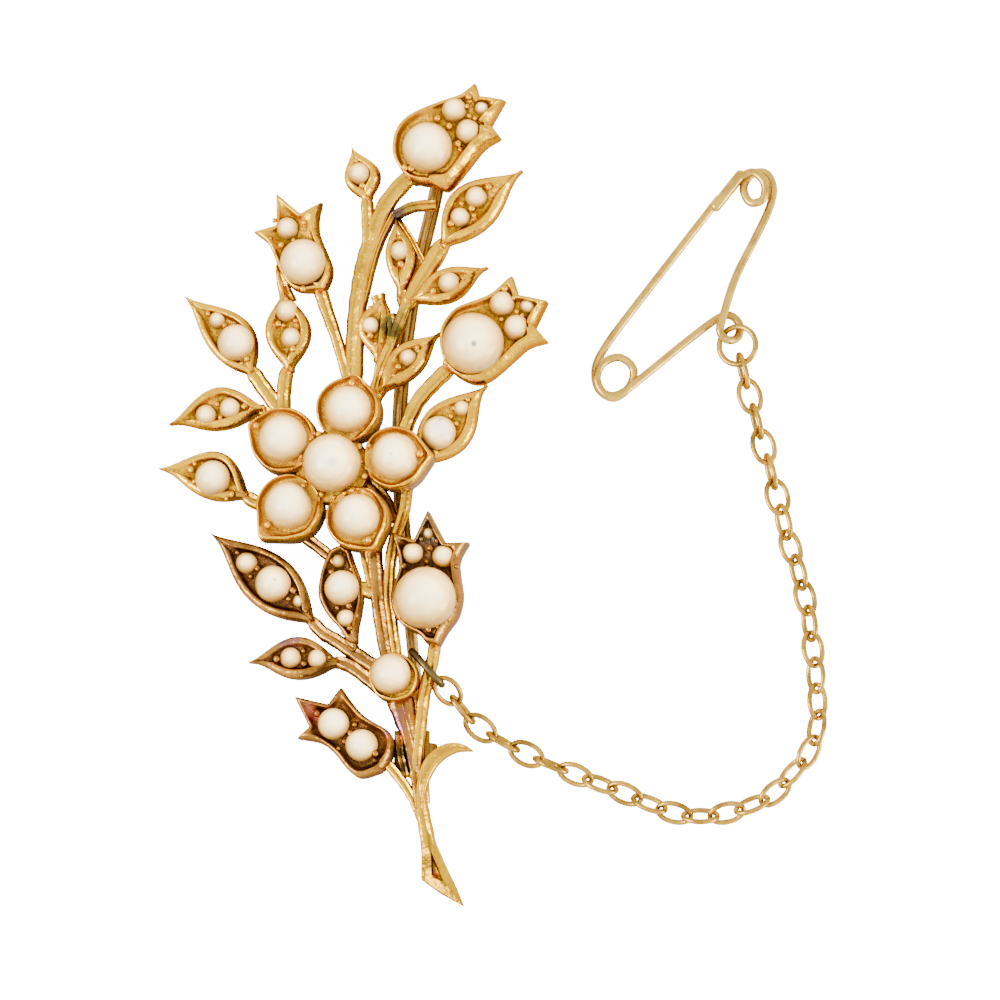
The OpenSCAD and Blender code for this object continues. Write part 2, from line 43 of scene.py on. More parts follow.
# How the sprig was measured: view height in degrees, side of the view in mm, lean of the sprig,
# how far the whole is moved to stand in the middle, and the leaf tip that it rests on: how far it
# lies from the left and the level of its rim
view = {"height": 80, "side": 62.5, "lean": 8.6, "shiftX": 0.47, "shiftY": 0.37, "tipLeft": 9.9,
        "tipRim": 1.2}

lean = math.radians(view["lean"])
rise = math.tan(math.radians(90 - view["height"]))
centre = view["side"] / 2
restLift = -(view["tipLeft"] - centre + view["tipRim"] * math.tan(lean)) * math.sin(lean)
mm = 0.001
# All random draws come from here, in the order of the pieces
chance = random.Random(7)
# The end of the range that random turns are drawn from
fullTurn = 6.28
tableFrame = Matrix.Scale(mm, 4) @ Matrix.Translation((view["shiftX"], view["shiftY"], 0))
sprigFrame = tableFrame @ Matrix.Translation((0, 0, restLift)) @ Matrix.Rotation(-lean, 4, "Y")
up = Vector((0, 0, 1))


def onSprig(place, w):
    # A measured place, at w above the sprig's own back
    u = place[0] - centre + w * math.tan(lean)
    height = restLift + u * math.sin(lean) + w * math.cos(lean)
    return Vector((u, centre - place[1] - height * rise, w))


def onSprigLevel(place, w, rim):
    # Walls stand square on the sprig's back: the place is taken at the rim, the level is set after
    point = onSprig(place, rim)
    point.z = w
    return point


def measured(point):
    # The place as measured of a point on the sprig
    x, y, w = point
    height = restLift + x * math.sin(lean) + w * math.cos(lean)
    return Vector((x + centre - w * math.tan(lean), centre - y - height * rise))


def onTable(place, z):
    # A measured place beside the sprig, at height z above the surface
    return Vector(((place[0] - centre) * math.cos(lean), centre - place[1] - z * rise, z))


def smoothLine(points, steps):
    # Points along the smooth curve through the given ones
    last = len(points) - 1
    line = []
    for i in range(last):
        p0, p1 = points[max(i - 1, 0)], points[i]
        p2, p3 = points[i + 1], points[min(i + 2, last)]
        for k in range(steps):
            t = k / steps
            line.append(0.5 * (2 * p1 + (p2 - p0) * t + (2 * p0 - 5 * p1 + 4 * p2 - p3) * t * t
                               + (3 * p1 - p0 - 3 * p2 + p3) * t ** 3))
    line.append(points[last])
    return line


def headings(points, ringed=False):
    # The way on at each point, from the one before it to the one after it
    last = len(points) - 1
    if ringed:
        return [points[(i + 1) % len(points)] - points[i - 1] for i in range(len(points))]
    return [points[min(i + 1, last)] - points[max(i - 1, 0)] for i in range(len(points))]


def circle(count):
    # Cosine and sine of each of count turns round a circle
    turns = [2 * math.pi * k / count for k in range(count)]
    return [(math.cos(turn), math.sin(turn)) for turn in turns]


def easeIn(value, low, high):
    # Rises smoothly from 0 at low to 1 at high
    t = min(max((value - low) / (high - low), 0), 1)
    return t * t * (3 - 2 * t)


# Modelling helpers

def selectOnly(*pieces):
    bpy.ops.object.select_all(action="DESELECT")
    for piece in pieces:
        piece.select_set(True)
    if pieces:
        bpy.context.view_layer.objects.active = pieces[0]


def newObject(name, add, **settings):
    # add is the operator that makes it
    selectOnly()
    add(**settings)
    bpy.context.object.name = name
    return bpy.context.object


def editMesh(piece, *steps):
    # Runs each step on the whole mesh
    selectOnly(piece)
    bpy.ops.object.mode_set(mode="EDIT")
    for step, settings in steps:
        bpy.ops.mesh.select_all(action="SELECT")
        step(**settings)
    bpy.ops.object.mode_set(mode="OBJECT")


# Points nearer than this are one
mergeWithin = 0.0008


def shapedGrid(name, rows, ringed=False):
    # A grid whose rows are laid along the given closed loops of points, then sewn up into a solid.
    # Its own UV map then runs round each loop in U and from loop to loop in V.
    loops = rows + [rows[0]] if ringed else rows
    around = len(rows[0])
    piece = newObject(name, bpy.ops.mesh.primitive_grid_add, x_subdivisions=around,
                      y_subdivisions=len(loops) - 1, size=1)
    for i, loop in enumerate(loops):
        for k in range(around + 1):
            piece.data.vertices[i * (around + 1) + k].co = loop[k % around]
    editMesh(piece, (bpy.ops.mesh.remove_doubles, {"threshold": mergeWithin}),
             (bpy.ops.mesh.fill_holes, {"sides": 0}),
             (bpy.ops.mesh.normals_make_consistent, {"inside": False}))
    return piece


def soften(piece):
    # Subdivides the surface smoothly once and applies it
    modifier = piece.modifiers.new("soft", "SUBSURF")
    modifier.levels = modifier.render_levels = 1
    bpy.context.view_layer.objects.active = piece
    bpy.ops.object.modifier_apply(modifier="soft")


def joinPieces(name, pieces):
    selectOnly(*pieces)
    if len(pieces) > 1:
        bpy.ops.object.join()
    pieces[0].name = pieces[0].data.name = name
    return pieces[0]


def setDepth(piece, depth, across=None):
    # Gives the whole piece the finish of one depth in the golds' run from wall to hollow
    for loop in piece.data.uv_layers[0].data:
        loop.uv = (loop.uv.x if across is None else across, depth)


def finishPiece(piece, where, body, node, material, angle=70):
    # Puts the place into the mesh, shades it and hands it to the frame
    piece.data.transform(where @ piece.matrix_world)
    piece.matrix_world = Matrix.Identity(4)
    piece.data.materials.clear()
    piece.data.materials.append(material)
    selectOnly(piece)
    bpy.ops.object.shade_smooth_by_angle(angle=math.radians(angle))
    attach(piece, body)
    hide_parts(node)


def finishGold(piece, gold, angle=50):
    finishPiece(piece, sprigFrame, "sprig", "spray", goldOf[gold], angle)


def roundWire(name, points, radii, sides, ringed=False):
    rows = []
    for point, radius, along in zip(points, radii, headings(points, ringed)):
        side = along.cross(up)
        side.normalize()
        top = side.cross(along).normalized()
        rows.append([point + radius * (c * side + s * top) for c, s in circle(sides)])
    return shapedGrid(name, rows, ringed)


# Pearls: place, radius, level of the floor under each
pearls = {"tulip_top_large": ((26.7, 9.2), 1.56, 0.9), "tulip_top_upper": ((28.38, 6.81), 0.78, 0.9),
    "tulip_top_lower": ((29.25, 8.19), 0.78, 0.9), "leaf_top_outer": ((29.75, 12.31), 0.67, 0.55),
    "leaf_top_inner": ((28.75, 13.56), 0.61, 0.55), "leaf_fold": ((25.0, 15.69), 0.64, 0.55),
    "leaf_wing": ((28.06, 17.69), 0.68, 0.55), "leaf_inner": ((23.13, 20.38), 0.56, 0.55),
    "leaf_cross": ((25.5, 22.38), 0.55, 0.55), "tulip_right_large": ((29.56, 21.5), 1.91, 0.9),
    "tulip_right_upper": ((31.38, 19.0), 0.8, 0.9), "tulip_right_lower": ((32.25, 20.5), 0.8, 0.9),
    "leaf_right": ((27.44, 27.13), 1.09, 0.55), "bud": ((22.44, 10.81), 0.7, 0.55),
    "tulip_left_large": ((18.94, 16.38), 1.45, 0.7), "tulip_left_small": ((17.94, 14.25), 0.69, 0.7),
    "leaf_twin_upper": ((17.94, 19.44), 0.72, 0.55), "leaf_twin_lower": ((18.19, 21.13), 0.64, 0.55),
    "leaf_curl": ((14.75, 21.44), 1.15, 0.55), "leaf_west_outer": ((12.88, 26.0), 0.66, 0.55),
    "leaf_west_inner": ((14.38, 25.56), 0.66, 0.55), "leaf_low_west": ((13.31, 29.94), 1.11, 0.55),
    "flower_middle": ((20.75, 29.0), 1.82, 1.5), "petal_top": ((21.75, 25.63), 1.5, 1.3),
    "petal_right": ((24.69, 28.63), 1.5, 1.3), "petal_low_right": ((22.31, 32.38), 1.47, 1.3),
    "petal_low_left": ((18.06, 31.69), 1.52, 1.3), "petal_left": ((17.69, 27.5), 1.52, 1.3),
    "leaf_long_outer": ((15.44, 35.25), 0.67, 0.55), "leaf_long_middle": ((17.09, 36.56), 1.13, 0.55),
    "leaf_low_outer": ((18.19, 41.19), 0.65, 0.55), "leaf_low_inner": ((19.88, 41.25), 0.62, 0.55),
    "leaf_upright_large": ((21.41, 36.81), 1.09, 0.55),
    "leaf_upright_low": ((21.63, 38.72), 0.57, 0.55), "tulip_low_large": ((26.59, 37.44), 1.94, 0.9),
    "tulip_low_left": ((25.81, 34.63), 0.66, 0.9), "tulip_low_right": ((27.75, 34.81), 0.7, 0.9),
    "collet": ((24.44, 42.19), 1.28, 1.0), "tulip_foot_outer": ((20.88, 45.31), 0.98, 0.6),
    "tulip_foot_inner": ((22.63, 46.63), 1.01, 0.6)}
seeds = [((30.13, 6.69), 0.46, 0.9), ((33.0, 19.13), 0.49, 0.9), ((28.88, 25.56), 0.53, 0.55),
    ((13.56, 20.0), 0.52, 0.55), ((18.75, 37.63), 0.41, 0.55), ((21.19, 35.13), 0.42, 0.55),
    ((26.81, 33.38), 0.38, 0.9)]
pearlRows = list(pearls.values()) + seeds
# A pearl's flat back lies the cut below its middle, as a share of its radius, and the lift above the
# floor. The largest stretch each way, how much it varies, and how far its two waves reach in
pearlShape = {"cut": 0.35, "lift": 0.03, "segments": 32, "rings": 20, "stretch": 1.025, "varies": 0.02,
              "waves": (0.002, 0.008)}

# Marks on the pearls: the pearl, the mark's place, reach, colour, strength
pearlMarks = [
    ("tulip_right_large", (29.6, 21.5), 0.27, (96, 90, 84), 0.9),
    ("leaf_right", (27.5, 26.35), 0.22, (96, 84, 76), 0.9),
    ("leaf_right", (27.75, 26.75), 0.75, (204, 176, 186), 0.7),
    ("flower_middle", (20.8, 28.9), 0.4, (184, 180, 172), 0.7),
    ("tulip_left_large", (19.1, 17.1), 0.17, (110, 102, 92), 0.9),
    ("petal_right", (24.5, 28.4), 0.16, (130, 120, 104), 0.8),
    ("leaf_long_middle", (17.2, 36.3), 0.16, (120, 110, 100), 0.8)]

# The level of all spots of colour: stains and painted shadows
spotLevel = 0.9
# Stains, and painted shadows: place as measured, reach in mm, colour, strength
stainsAndShadows = {
    "dark": [((24.6, 45.2), 1.0, (120, 84, 150), 0.8), ((25.2, 44.9), 0.8, (156, 98, 50), 0.7),
        ((26.1, 47.5), 0.6, (140, 90, 120), 0.7), ((24.95, 46.3), 0.8, (156, 92, 42), 0.7),
        ((18.3, 39.9), 0.9, (110, 84, 128), 0.6), ((17.6, 40.2), 0.8, (122, 84, 100), 0.5),
        # Painted shadow: the two near-black spots on this line darken the dark bar beside the catch
        ((25.0, 47.0), 0.75, (52, 40, 22), 0.9), ((25.2, 48.0), 0.6, (52, 40, 22), 0.9),
        ((19.4, 44.6), 0.9, (168, 84, 70), 0.7), ((26.9, 33.0), 1.9, (92, 84, 78), 0.7),
        ((28.9, 34.1), 1.0, (84, 74, 70), 0.8), ((24.6, 34.3), 0.9, (84, 74, 70), 0.8)],
    "bright": [((27.2, 54.5), 0.42, (150, 62, 36), 0.95), ((27.6, 10.92), 0.22, (48, 32, 12), 0.95),
        ((27.45, 11.8), 0.3, (60, 38, 16), 0.9), ((24.4, 20.5), 1.15, (66, 63, 46), 0.92),
        ((24.9, 19.7), 0.9, (120, 108, 70), 0.5), ((25.0, 13.4), 0.8, (72, 62, 86), 0.9),
        ((25.6, 12.9), 0.8, (120, 112, 62), 0.6), ((22.3, 24.3), 0.9, (170, 112, 44), 0.4),
        ((16.2, 21.9), 0.9, (150, 84, 40), 0.5), ((26.2, 30.6), 1.3, (122, 84, 60), 0.5),
        ((15.4, 30.9), 1.1, (128, 84, 48), 0.6)]}

# Finishes

def tone(red, green, blue):
    # A colour as the eye reads it, turned into the light values the shader needs
    def light(value):
        value = value / 255
        return value / 12.92 if value <= 0.04045 else ((value + 0.055) / 1.055) ** 2.4
    return (light(red), light(green), light(blue), 1)


def setInputs(tree, node, values):
    # Each input takes a value or another node's output
    for label, value in values.items():
        if isinstance(value, bpy.types.NodeSocket):
            tree.links.new(value, node.inputs[label])
        else:
            node.inputs[label].default_value = value


def addNode(tree, kind, values, **settings):
    node = tree.nodes.new("ShaderNode" + kind)
    for label, value in settings.items():
        setattr(node, label, value)
    setInputs(tree, node, values)
    return node


def objectPlace(tree):
    return addNode(tree, "TexCoord", {}).outputs["Object"]


def ownDepth(tree):
    # The V of the piece's own UV map
    coord = addNode(tree, "TexCoord", {})
    return addNode(tree, "SeparateXYZ", {0: coord.outputs["UV"]}).outputs["Y"]


def mixColour(tree, factor, first, second, blend="MIX"):
    return addNode(tree, "Mix", {0: factor, 6: first, 7: second}, data_type="RGBA",
                   blend_type=blend).outputs[2]


def mapRange(tree, value, low, high, toLow=0.0, toHigh=1.0):
    return addNode(tree, "MapRange", {"Value": value, "From Min": low, "From Max": high,
                                      "To Min": toLow, "To Max": toHigh}).outputs["Result"]


def noise(tree, place, scale, detail, roughness=0.55):
    return addNode(tree, "TexNoise", {"Vector": place, "Scale": scale, "Detail": detail,
                                      "Roughness": roughness}).outputs["Fac"]


def mathNode(tree, operation, first, second):
    return addNode(tree, "Math", {0: first, 1: second}, operation=operation).outputs[0]


def addBump(tree, shader, height, distance, strength):
    bump = addNode(tree, "Bump", {"Height": height, "Distance": distance, "Strength": strength})
    setInputs(tree, shader, {"Normal": bump.outputs["Normal"]})


def newGroup(name, inputs, outputs):
    # inputs and outputs are listed by their kind: colours, places and plain numbers
    group = bpy.data.node_groups.new(name, "ShaderNodeTree")
    for way, sockets in (("INPUT", inputs), ("OUTPUT", outputs)):
        for kind, labels in sockets.items():
            for label in labels:
                group.interface.new_socket(name=label, in_out=way, socket_type="NodeSocket" + kind)
    return group, group.nodes.new("NodeGroupInput").outputs, group.nodes.new("NodeGroupOutput")


def buildSpot():
    # A soft-edged spot of colour round a place on the object, in metres, for stains, marks and painted
    # shadows
    group, given, result = newGroup("spotColour", {
        "Color": ["Colour", "SpotColour"], "Vector": ["Place"], "Float": ["Reach", "Strength"]},
        {"Color": ["Colour"]})
    place = objectPlace(group)
    distance = addNode(group, "VectorMath", {0: place, 1: given["Place"]}, operation="DISTANCE")
    share = mathNode(group, "DIVIDE", distance.outputs["Value"], given["Reach"])
    ragged = mapRange(group, noise(group, place, 1600, 3), 0.3, 0.7, -0.35, 0.35)
    mask = mapRange(group, mathNode(group, "ADD", share, ragged), 1.0, 0.45)
    mask = mathNode(group, "MULTIPLY", mask, given["Strength"])
    setInputs(group, result, {"Colour": mixColour(group, mask, given["Colour"], given["SpotColour"])})
    return group


# Where each part of the golds begins and ends, by depth from the outer wall to the hollow
goldDepths = {"outside": (0.25, 0.17), "wall": (0.42, 0.54), "hollow": (0.60, 0.74)}
# Depths of plain rim gold, for what has no hollow, and of the grain, which takes the hollow's painted
# shade
rimDepth, grainDepth = 0.30, 0.9


def buildShadedWornGold():
    # Gold that runs from its outer wall over a polished rim to a grainy hollow, by the piece's own V.
    # The outer wall, the wall and the hollow are darker copies of the rim gold: painted shade
    group, given, result = newGroup("shadedWornGold", {
        "Color": ["Outside", "Rim", "Wall", "Hollow", "Patch"],
        "Float": ["Patches", "Grain", "ShadeDulling"]},
        {"Color": ["Colour"], "Float": ["Roughness", "Height", "Metal"]})
    place, depth = objectPlace(group), ownDepth(group)
    broad, fine = noise(group, place, 700, 3), noise(group, place, 5200, 4, 0.7)
    ragged = mathNode(group, "ADD", depth, mapRange(group, fine, 0.3, 0.7, -0.04, 0.04))
    outside, wall, hollow = (mapRange(group, ragged, *ends) for ends in goldDepths.values())
    colour = mixColour(group, mapRange(group, broad, 0.42, 0.66, 0.0, 0.6), given["Rim"], given["Wall"])
    colour = mixColour(group, wall, colour, given["Wall"])
    grainy = mixColour(group, mapRange(group, fine, 0.42, 0.58), given["Hollow"], given["Wall"])
    colour = mixColour(group, hollow, colour, grainy)
    colour = mixColour(group, outside, colour, given["Outside"])
    # Painted shade: the gap attribute darkens the gold towards dark brown beside the pearls, along the
    # sides of the stems and the curled leaf, and on the foot's facets
    gap = addNode(group, "Attribute", {}, attribute_name="gap")
    colour = mixColour(group, gap.outputs["Fac"], colour,
                       mixColour(group, 0.75, given["Hollow"], tone(50, 32, 10)))
    patches = mapRange(group, noise(group, place, 330, 4), 0.5, 0.66)
    patches = mathNode(group, "MULTIPLY", patches, given["Patches"])
    rough = mathNode(group, "ADD", mapRange(group, fine, 0.3, 0.7, -0.05, 0.08),
                     mapRange(group, depth, 0.42, 0.7, 0.24, 0.38))
    height = mathNode(group, "MULTIPLY", fine, mapRange(group, depth, 0.5, 0.72, 0.12, 1.0))
    height = mathNode(group, "ADD", height, mapRange(group, broad, 0.3, 0.7, 0.0, 1.5))
    # The outer wall is made less metal, so that its painted shade reads dark
    shadeDulled = mathNode(group, "MULTIPLY", outside, given["ShadeDulling"])
    setInputs(group, result, {
        "Colour": mixColour(group, patches, colour, given["Patch"]), "Roughness": rough,
        "Height": mathNode(group, "MULTIPLY", height, given["Grain"]),
        "Metal": mathNode(group, "SUBTRACT", 1.0, shadeDulled)})
    return group


spotGroup = buildSpot()
shadedWornGoldGroup = buildShadedWornGold()


def addSpot(tree, colour, place, reach, spotColour, strength):
    return addNode(tree, "Group", {"Colour": colour, "SpotColour": tone(*spotColour), "Place": sprigFrame @ place,
                                   "Reach": reach * mm, "Strength": strength},
                   node_tree=spotGroup).outputs["Colour"]


def newMaterial(name):
    material = bpy.data.materials.new(name)
    material.use_nodes = True
    return material, material.node_tree, material.node_tree.nodes["Principled BSDF"]


def goldMaterial(name, outside, rim, wall, hollow, patch, patches, grain, shadeDulling, spots):
    material, tree, shader = newMaterial(name)
    gold = addNode(tree, "Group", {
        "Outside": tone(*outside), "Rim": tone(*rim), "Wall": tone(*wall), "Hollow": tone(*hollow),
        "Patch": tone(*patch), "Patches": patches, "Grain": grain, "ShadeDulling": shadeDulling},
        node_tree=shadedWornGoldGroup).outputs
    colour = gold["Colour"]
    for place, reach, spotColour, strength in stainsAndShadows.get(spots, []):
        colour = addSpot(tree, colour, onSprig(place, spotLevel), reach, spotColour, strength)
    setInputs(tree, shader, {"Base Color": colour, "Roughness": gold["Roughness"],
                             "Metallic": gold["Metal"], "Specular Tint": tone(240, 180, 30)})
    addBump(tree, shader, gold["Height"], 0.06 * mm, 1.0)
    return material


def wireMaterial(name, colour, worn, roughness):
    # Drawn wire: fine scratches and slightly darker worn patches
    material, tree, shader = newMaterial(name)
    place = objectPlace(tree)
    broad, fine = noise(tree, place, 900, 4), noise(tree, place, 6000, 3)
    setInputs(tree, shader, {
        "Base Color": mixColour(tree, mapRange(tree, broad, 0.4, 0.68), tone(*colour), tone(*worn)),
        "Roughness": mapRange(tree, fine, 0.3, 0.7, roughness - 0.05, roughness + 0.08),
        "Metallic": 1.0, "Specular Tint": tone(232, 200, 140)})
    addBump(tree, shader, fine, 0.02 * mm, 0.6)
    return material


# Pearls above this radius are pale, those below it tan: on the small ones the painted tan shade reaches
# further up
paleAbove = 0.9
# Nacre by height on the pearl, from girdle to crown, with painted shade and a painted reflection of the
# gold: tan at the girdle, pale at the crown
nacreAndPaintedShade = [(0.50, (140, 94, 20)), (0.62, (172, 126, 46)), (0.71, (208, 168, 94)), (0.81, (242, 216, 162)),
         (0.98, (254, 241, 212))]


def pearlMaterial(name, shift, marks):
    # Cream nacre, no two pearls quite alike, with painted shade and a painted reflection of the gold:
    # tan at the girdle, pale at the crown. shift makes the tan reach further up
    material, tree, shader = newMaterial(name)
    place = objectPlace(tree)
    ramp = addNode(tree, "ValToRGB", {0: mathNode(
        tree, "ADD", ownDepth(tree),
        mapRange(tree, noise(tree, place, 420, 2), 0.3, 0.7, -0.03 - shift, 0.03 - shift))})
    ramp.color_ramp.interpolation = "EASE"
    stops = ramp.color_ramp.elements
    stops[0].position, stops[1].position = nacreAndPaintedShade[0][0], nacreAndPaintedShade[-1][0]
    stops[0].color, stops[1].color = tone(*nacreAndPaintedShade[0][1]), tone(*nacreAndPaintedShade[-1][1])
    for position, shade in nacreAndPaintedShade[1:-1]:
        stops.new(position).color = tone(*shade)
    cool = mapRange(tree, noise(tree, place, 160, 2), 0.45, 0.62, 0.0, 0.5)
    colour = mixColour(tree, cool, ramp.outputs[0], tone(236, 226, 206), "MULTIPLY")
    cloud = mapRange(tree, noise(tree, place, 1500, 3), 0.35, 0.75, 0.0, 0.2)
    colour = mixColour(tree, cloud, colour, tone(236, 206, 150))
    for pearl, spot, reach, mark, strength in marks:
        middle, radius, floor = pearls[pearl]
        away = (Vector(spot) - Vector(middle)).length_squared
        level = floor + pearlShape["cut"] * radius + math.sqrt(radius ** 2 - away)
        colour = addSpot(tree, colour, onSprig(spot, level), reach, mark, strength)
    setInputs(tree, shader, {"Base Color": colour, "Roughness": 0.32, "Coat Weight": 0.7,
                             "Coat Roughness": 0.16})
    return material


# Golds: colours of outside, rim, wall, hollow and patches, then strength of the patches, grain,
# the dulling of the outside, and the stains and painted shadows on it. The outside, wall and hollow
# are darker copies of the rim gold: painted shade
golds = {
    "bright": ((168, 120, 26), (240, 190, 10), (208, 160, 16), (132, 96, 20), (178, 124, 14),
               0.4, 0.9, 0.0, "bright"),
    # The cup gold's near-black outside is painted shade on the petal cups' walls
    "cup": ((92, 60, 26), (240, 188, 14), (212, 160, 20), (160, 118, 24), (178, 122, 16),
            0.3, 0.8, 0.5, "bright"),
    "dark": ((96, 64, 36), (184, 134, 60), (108, 72, 36), (54, 36, 20), (80, 50, 32),
             0.6, 0.9, 0.4, "dark"),
    # The back gold is darker all over: painted shade on the fittings under the sprig
    "back": ((124, 94, 46), (146, 112, 52), (128, 94, 42), (100, 72, 32), (94, 70, 36),
             0.5, 0.3, 0.0, "none")}
# Wires: colour, colour where worn, roughness
wires = {"pale": ((218, 182, 84), (176, 140, 66), 0.27), "pin": ((224, 184, 108), (186, 140, 72), 0.34),
         "chain": ((200, 158, 64), (136, 104, 42), 0.25), "grey": ((98, 86, 58), (60, 52, 36), 0.4)}
goldOf = {name: goldMaterial(name + "Gold", *row) for name, row in golds.items()}
wireOf = {name: wireMaterial(name + "Wire", *row) for name, row in wires.items()}
creamPearl = pearlMaterial("creamPearl", 0.01, pearlMarks)
smallPearl = pearlMaterial("smallPearl", 0.10, [])
print("finishes mixed")


def besidePearl(place):
    # How far a place lies outside the nearest pearl, and the level of that pearl's girdle
    return min(((place - Vector(middle)).length - radius,
                floor + pearlShape["cut"] * radius + pearlShape["lift"])
               for middle, radius, floor in pearlRows)


def paintShade(piece, shades):
    # Notes on the mesh how dark the painted shade makes the gold at each vertex, in the gap attribute
    shade = piece.data.attributes.new("gap", "FLOAT", "POINT")
    for note, value in zip(shade.data, shades):
        note.value = value


# Painted shade round the pearls: how far from a pearl the gold is dark, how far below the rim it is
# darkest, and how dark
paintedGapShade = {"reach": 0.20, "below": 0.15, "dark": 0.9}


def paintGapShade(piece, rim):
    # Painted shade: darkens the gold in the crevices beside the pearls, below the rim
    shades = []
    for vertex in piece.data.vertices:
        far = besidePearl(measured(vertex.co))[0]
        shades.append(easeIn(paintedGapShade["reach"] - far, 0, paintedGapShade["reach"])
                      * easeIn(rim - vertex.co.z, 0.0, paintedGapShade["below"]) * paintedGapShade["dark"])
    paintShade(piece, shades)


# What all leaves share: their levels and walls, the neck that starts as wide as the stem, and how
# much the edge curves in beyond its widest place
leafShape = {"floor": 0.80, "rim": 1.2, "rimWidth": 0.42, "slope": 0.26, "foot": 0.0, "flank": 0.18,
             "steps": 22, "neck": 0.36, "neckLength": 1.3, "neckDrop": 0.22, "draw": 0.50,
             "drawUp": 0.40, "power": 1.15}
# Leaves: foot and tip as measured (mm right of the view's left edge and down from its top), how far
# each side swells, where along its length it is widest, and its gold
leaves = {
    "leafTop": ((27.5, 15.3), (32.6, 10.55), 2.0, 1.12, 0.43, "bright"),
    "leafFold": ((25.0, 18.5), (24.7, 13.4), 0.85, 1.12, 0.5, "bright"),
    "leafWing": ((25.5, 18.8), (30.45, 16.65), 1.08, 1.08, 0.48, "bright"),
    "leafInner": ((23.55, 22.6), (23.95, 18.2), 1.5, 0.55, 0.5, "bright"),
    "leafCross": ((23.5, 24.6), (27.45, 20.75), 1.28, 0.88, 0.5, "bright"),
    "leafRight": ((25.9, 29.0), (30.4, 24.0), 1.68, 1.58, 0.44, "bright"),
    "leafBud": ((22.9, 12.4), (21.9, 9.0), 1.05, 1.25, 0.42, "bright"),
    "leafTwin": ((18.0, 23.2), (17.7, 17.8), 1.38, 1.52, 0.47, "bright"),
    "leafCurl": ((15.7, 23.3), (11.3, 18.3), 1.03, 1.99, 0.38, "bright"),
    "leafWest": ((16.5, 25.5), (10.5, 26.5), 0.88, 1.84, 0.45, "bright"),
    "leafLowWest": ((15.4, 30.95), (9.85, 29.25), 0.92, 2.15, 0.4, "bright"),
    "leafLong": ((19.5, 38.85), (12.95, 33.2), 1.6, 1.88, 0.42, "dark"),
    "leafLow": ((21.2, 41.4), (15.5, 41.4), 1.05, 1.65, 0.45, "dark")}


def leafSide(base, tip, swell, widest):
    # swell is below 0 on the other side
    base, tip = Vector(base), Vector(tip)
    along = tip - base
    left = Vector((along.y, -along.x)).normalized()
    bend = math.log(0.5) / math.log(widest)
    steps = leafShape["steps"]
    # Sides that look up stay full towards the tip, sides that look down curve in
    draw = leafShape["draw"] + leafShape["drawUp"] * left.y * math.copysign(1, swell)
    side = []
    for i in range(steps + 1):
        # The places crowd at both ends, so that the points stay sharp
        t = 0.5 - 0.5 * math.cos(math.pi * i / steps)
        # Beyond its widest place the edge curves in towards a drawn-out tip
        power = leafShape["power"] + draw * easeIn(t, widest, 1)
        wide = abs(swell) * math.sin(math.pi * min(t ** bend, 1)) ** power if 0 < i < steps else 0
        # The leaf starts as wide as the stem that it grows from
        wide = max(wide, leafShape["neck"] * (1 - easeIn(t * along.length, 0, leafShape["neckLength"])))
        side.append((base + t * along, left * math.copysign(wide, swell)))
    return side


def rimDistance(point, edge):
    # How far a point lies from the outline
    best = 1e9
    for i, a in enumerate(edge):
        along = edge[(i + 1) % len(edge)] - a
        share = min(max((point - a).dot(along) / max(along.dot(along), 1e-12), 0), 1)
        best = min(best, (a + along * share - point).length_squared)
    return math.sqrt(best)


# What all trays share: steps on the way in from the edge, where the flared wall looks and how sharply
# it falls off, how the walls waver, how shallow the hollow is away from the pearls, over which part of
# the last millimetre to a pearl it deepens, how far its top lies below the rim, and how far the collar
# of gold reaches from a pearl, fades, stays below its girdle and below the rim
trayShape = {"steps": 16, "flareTo": (0.8, 0.6), "flarePower": 1.3, "waver": 0.018, "shallow": 0.2,
             "deepens": (0.25, 0.85), "brim": 0.03, "collar": 0.4, "collarFade": 0.3,
             "underGirdle": 0.1, "underRim": 0.12}


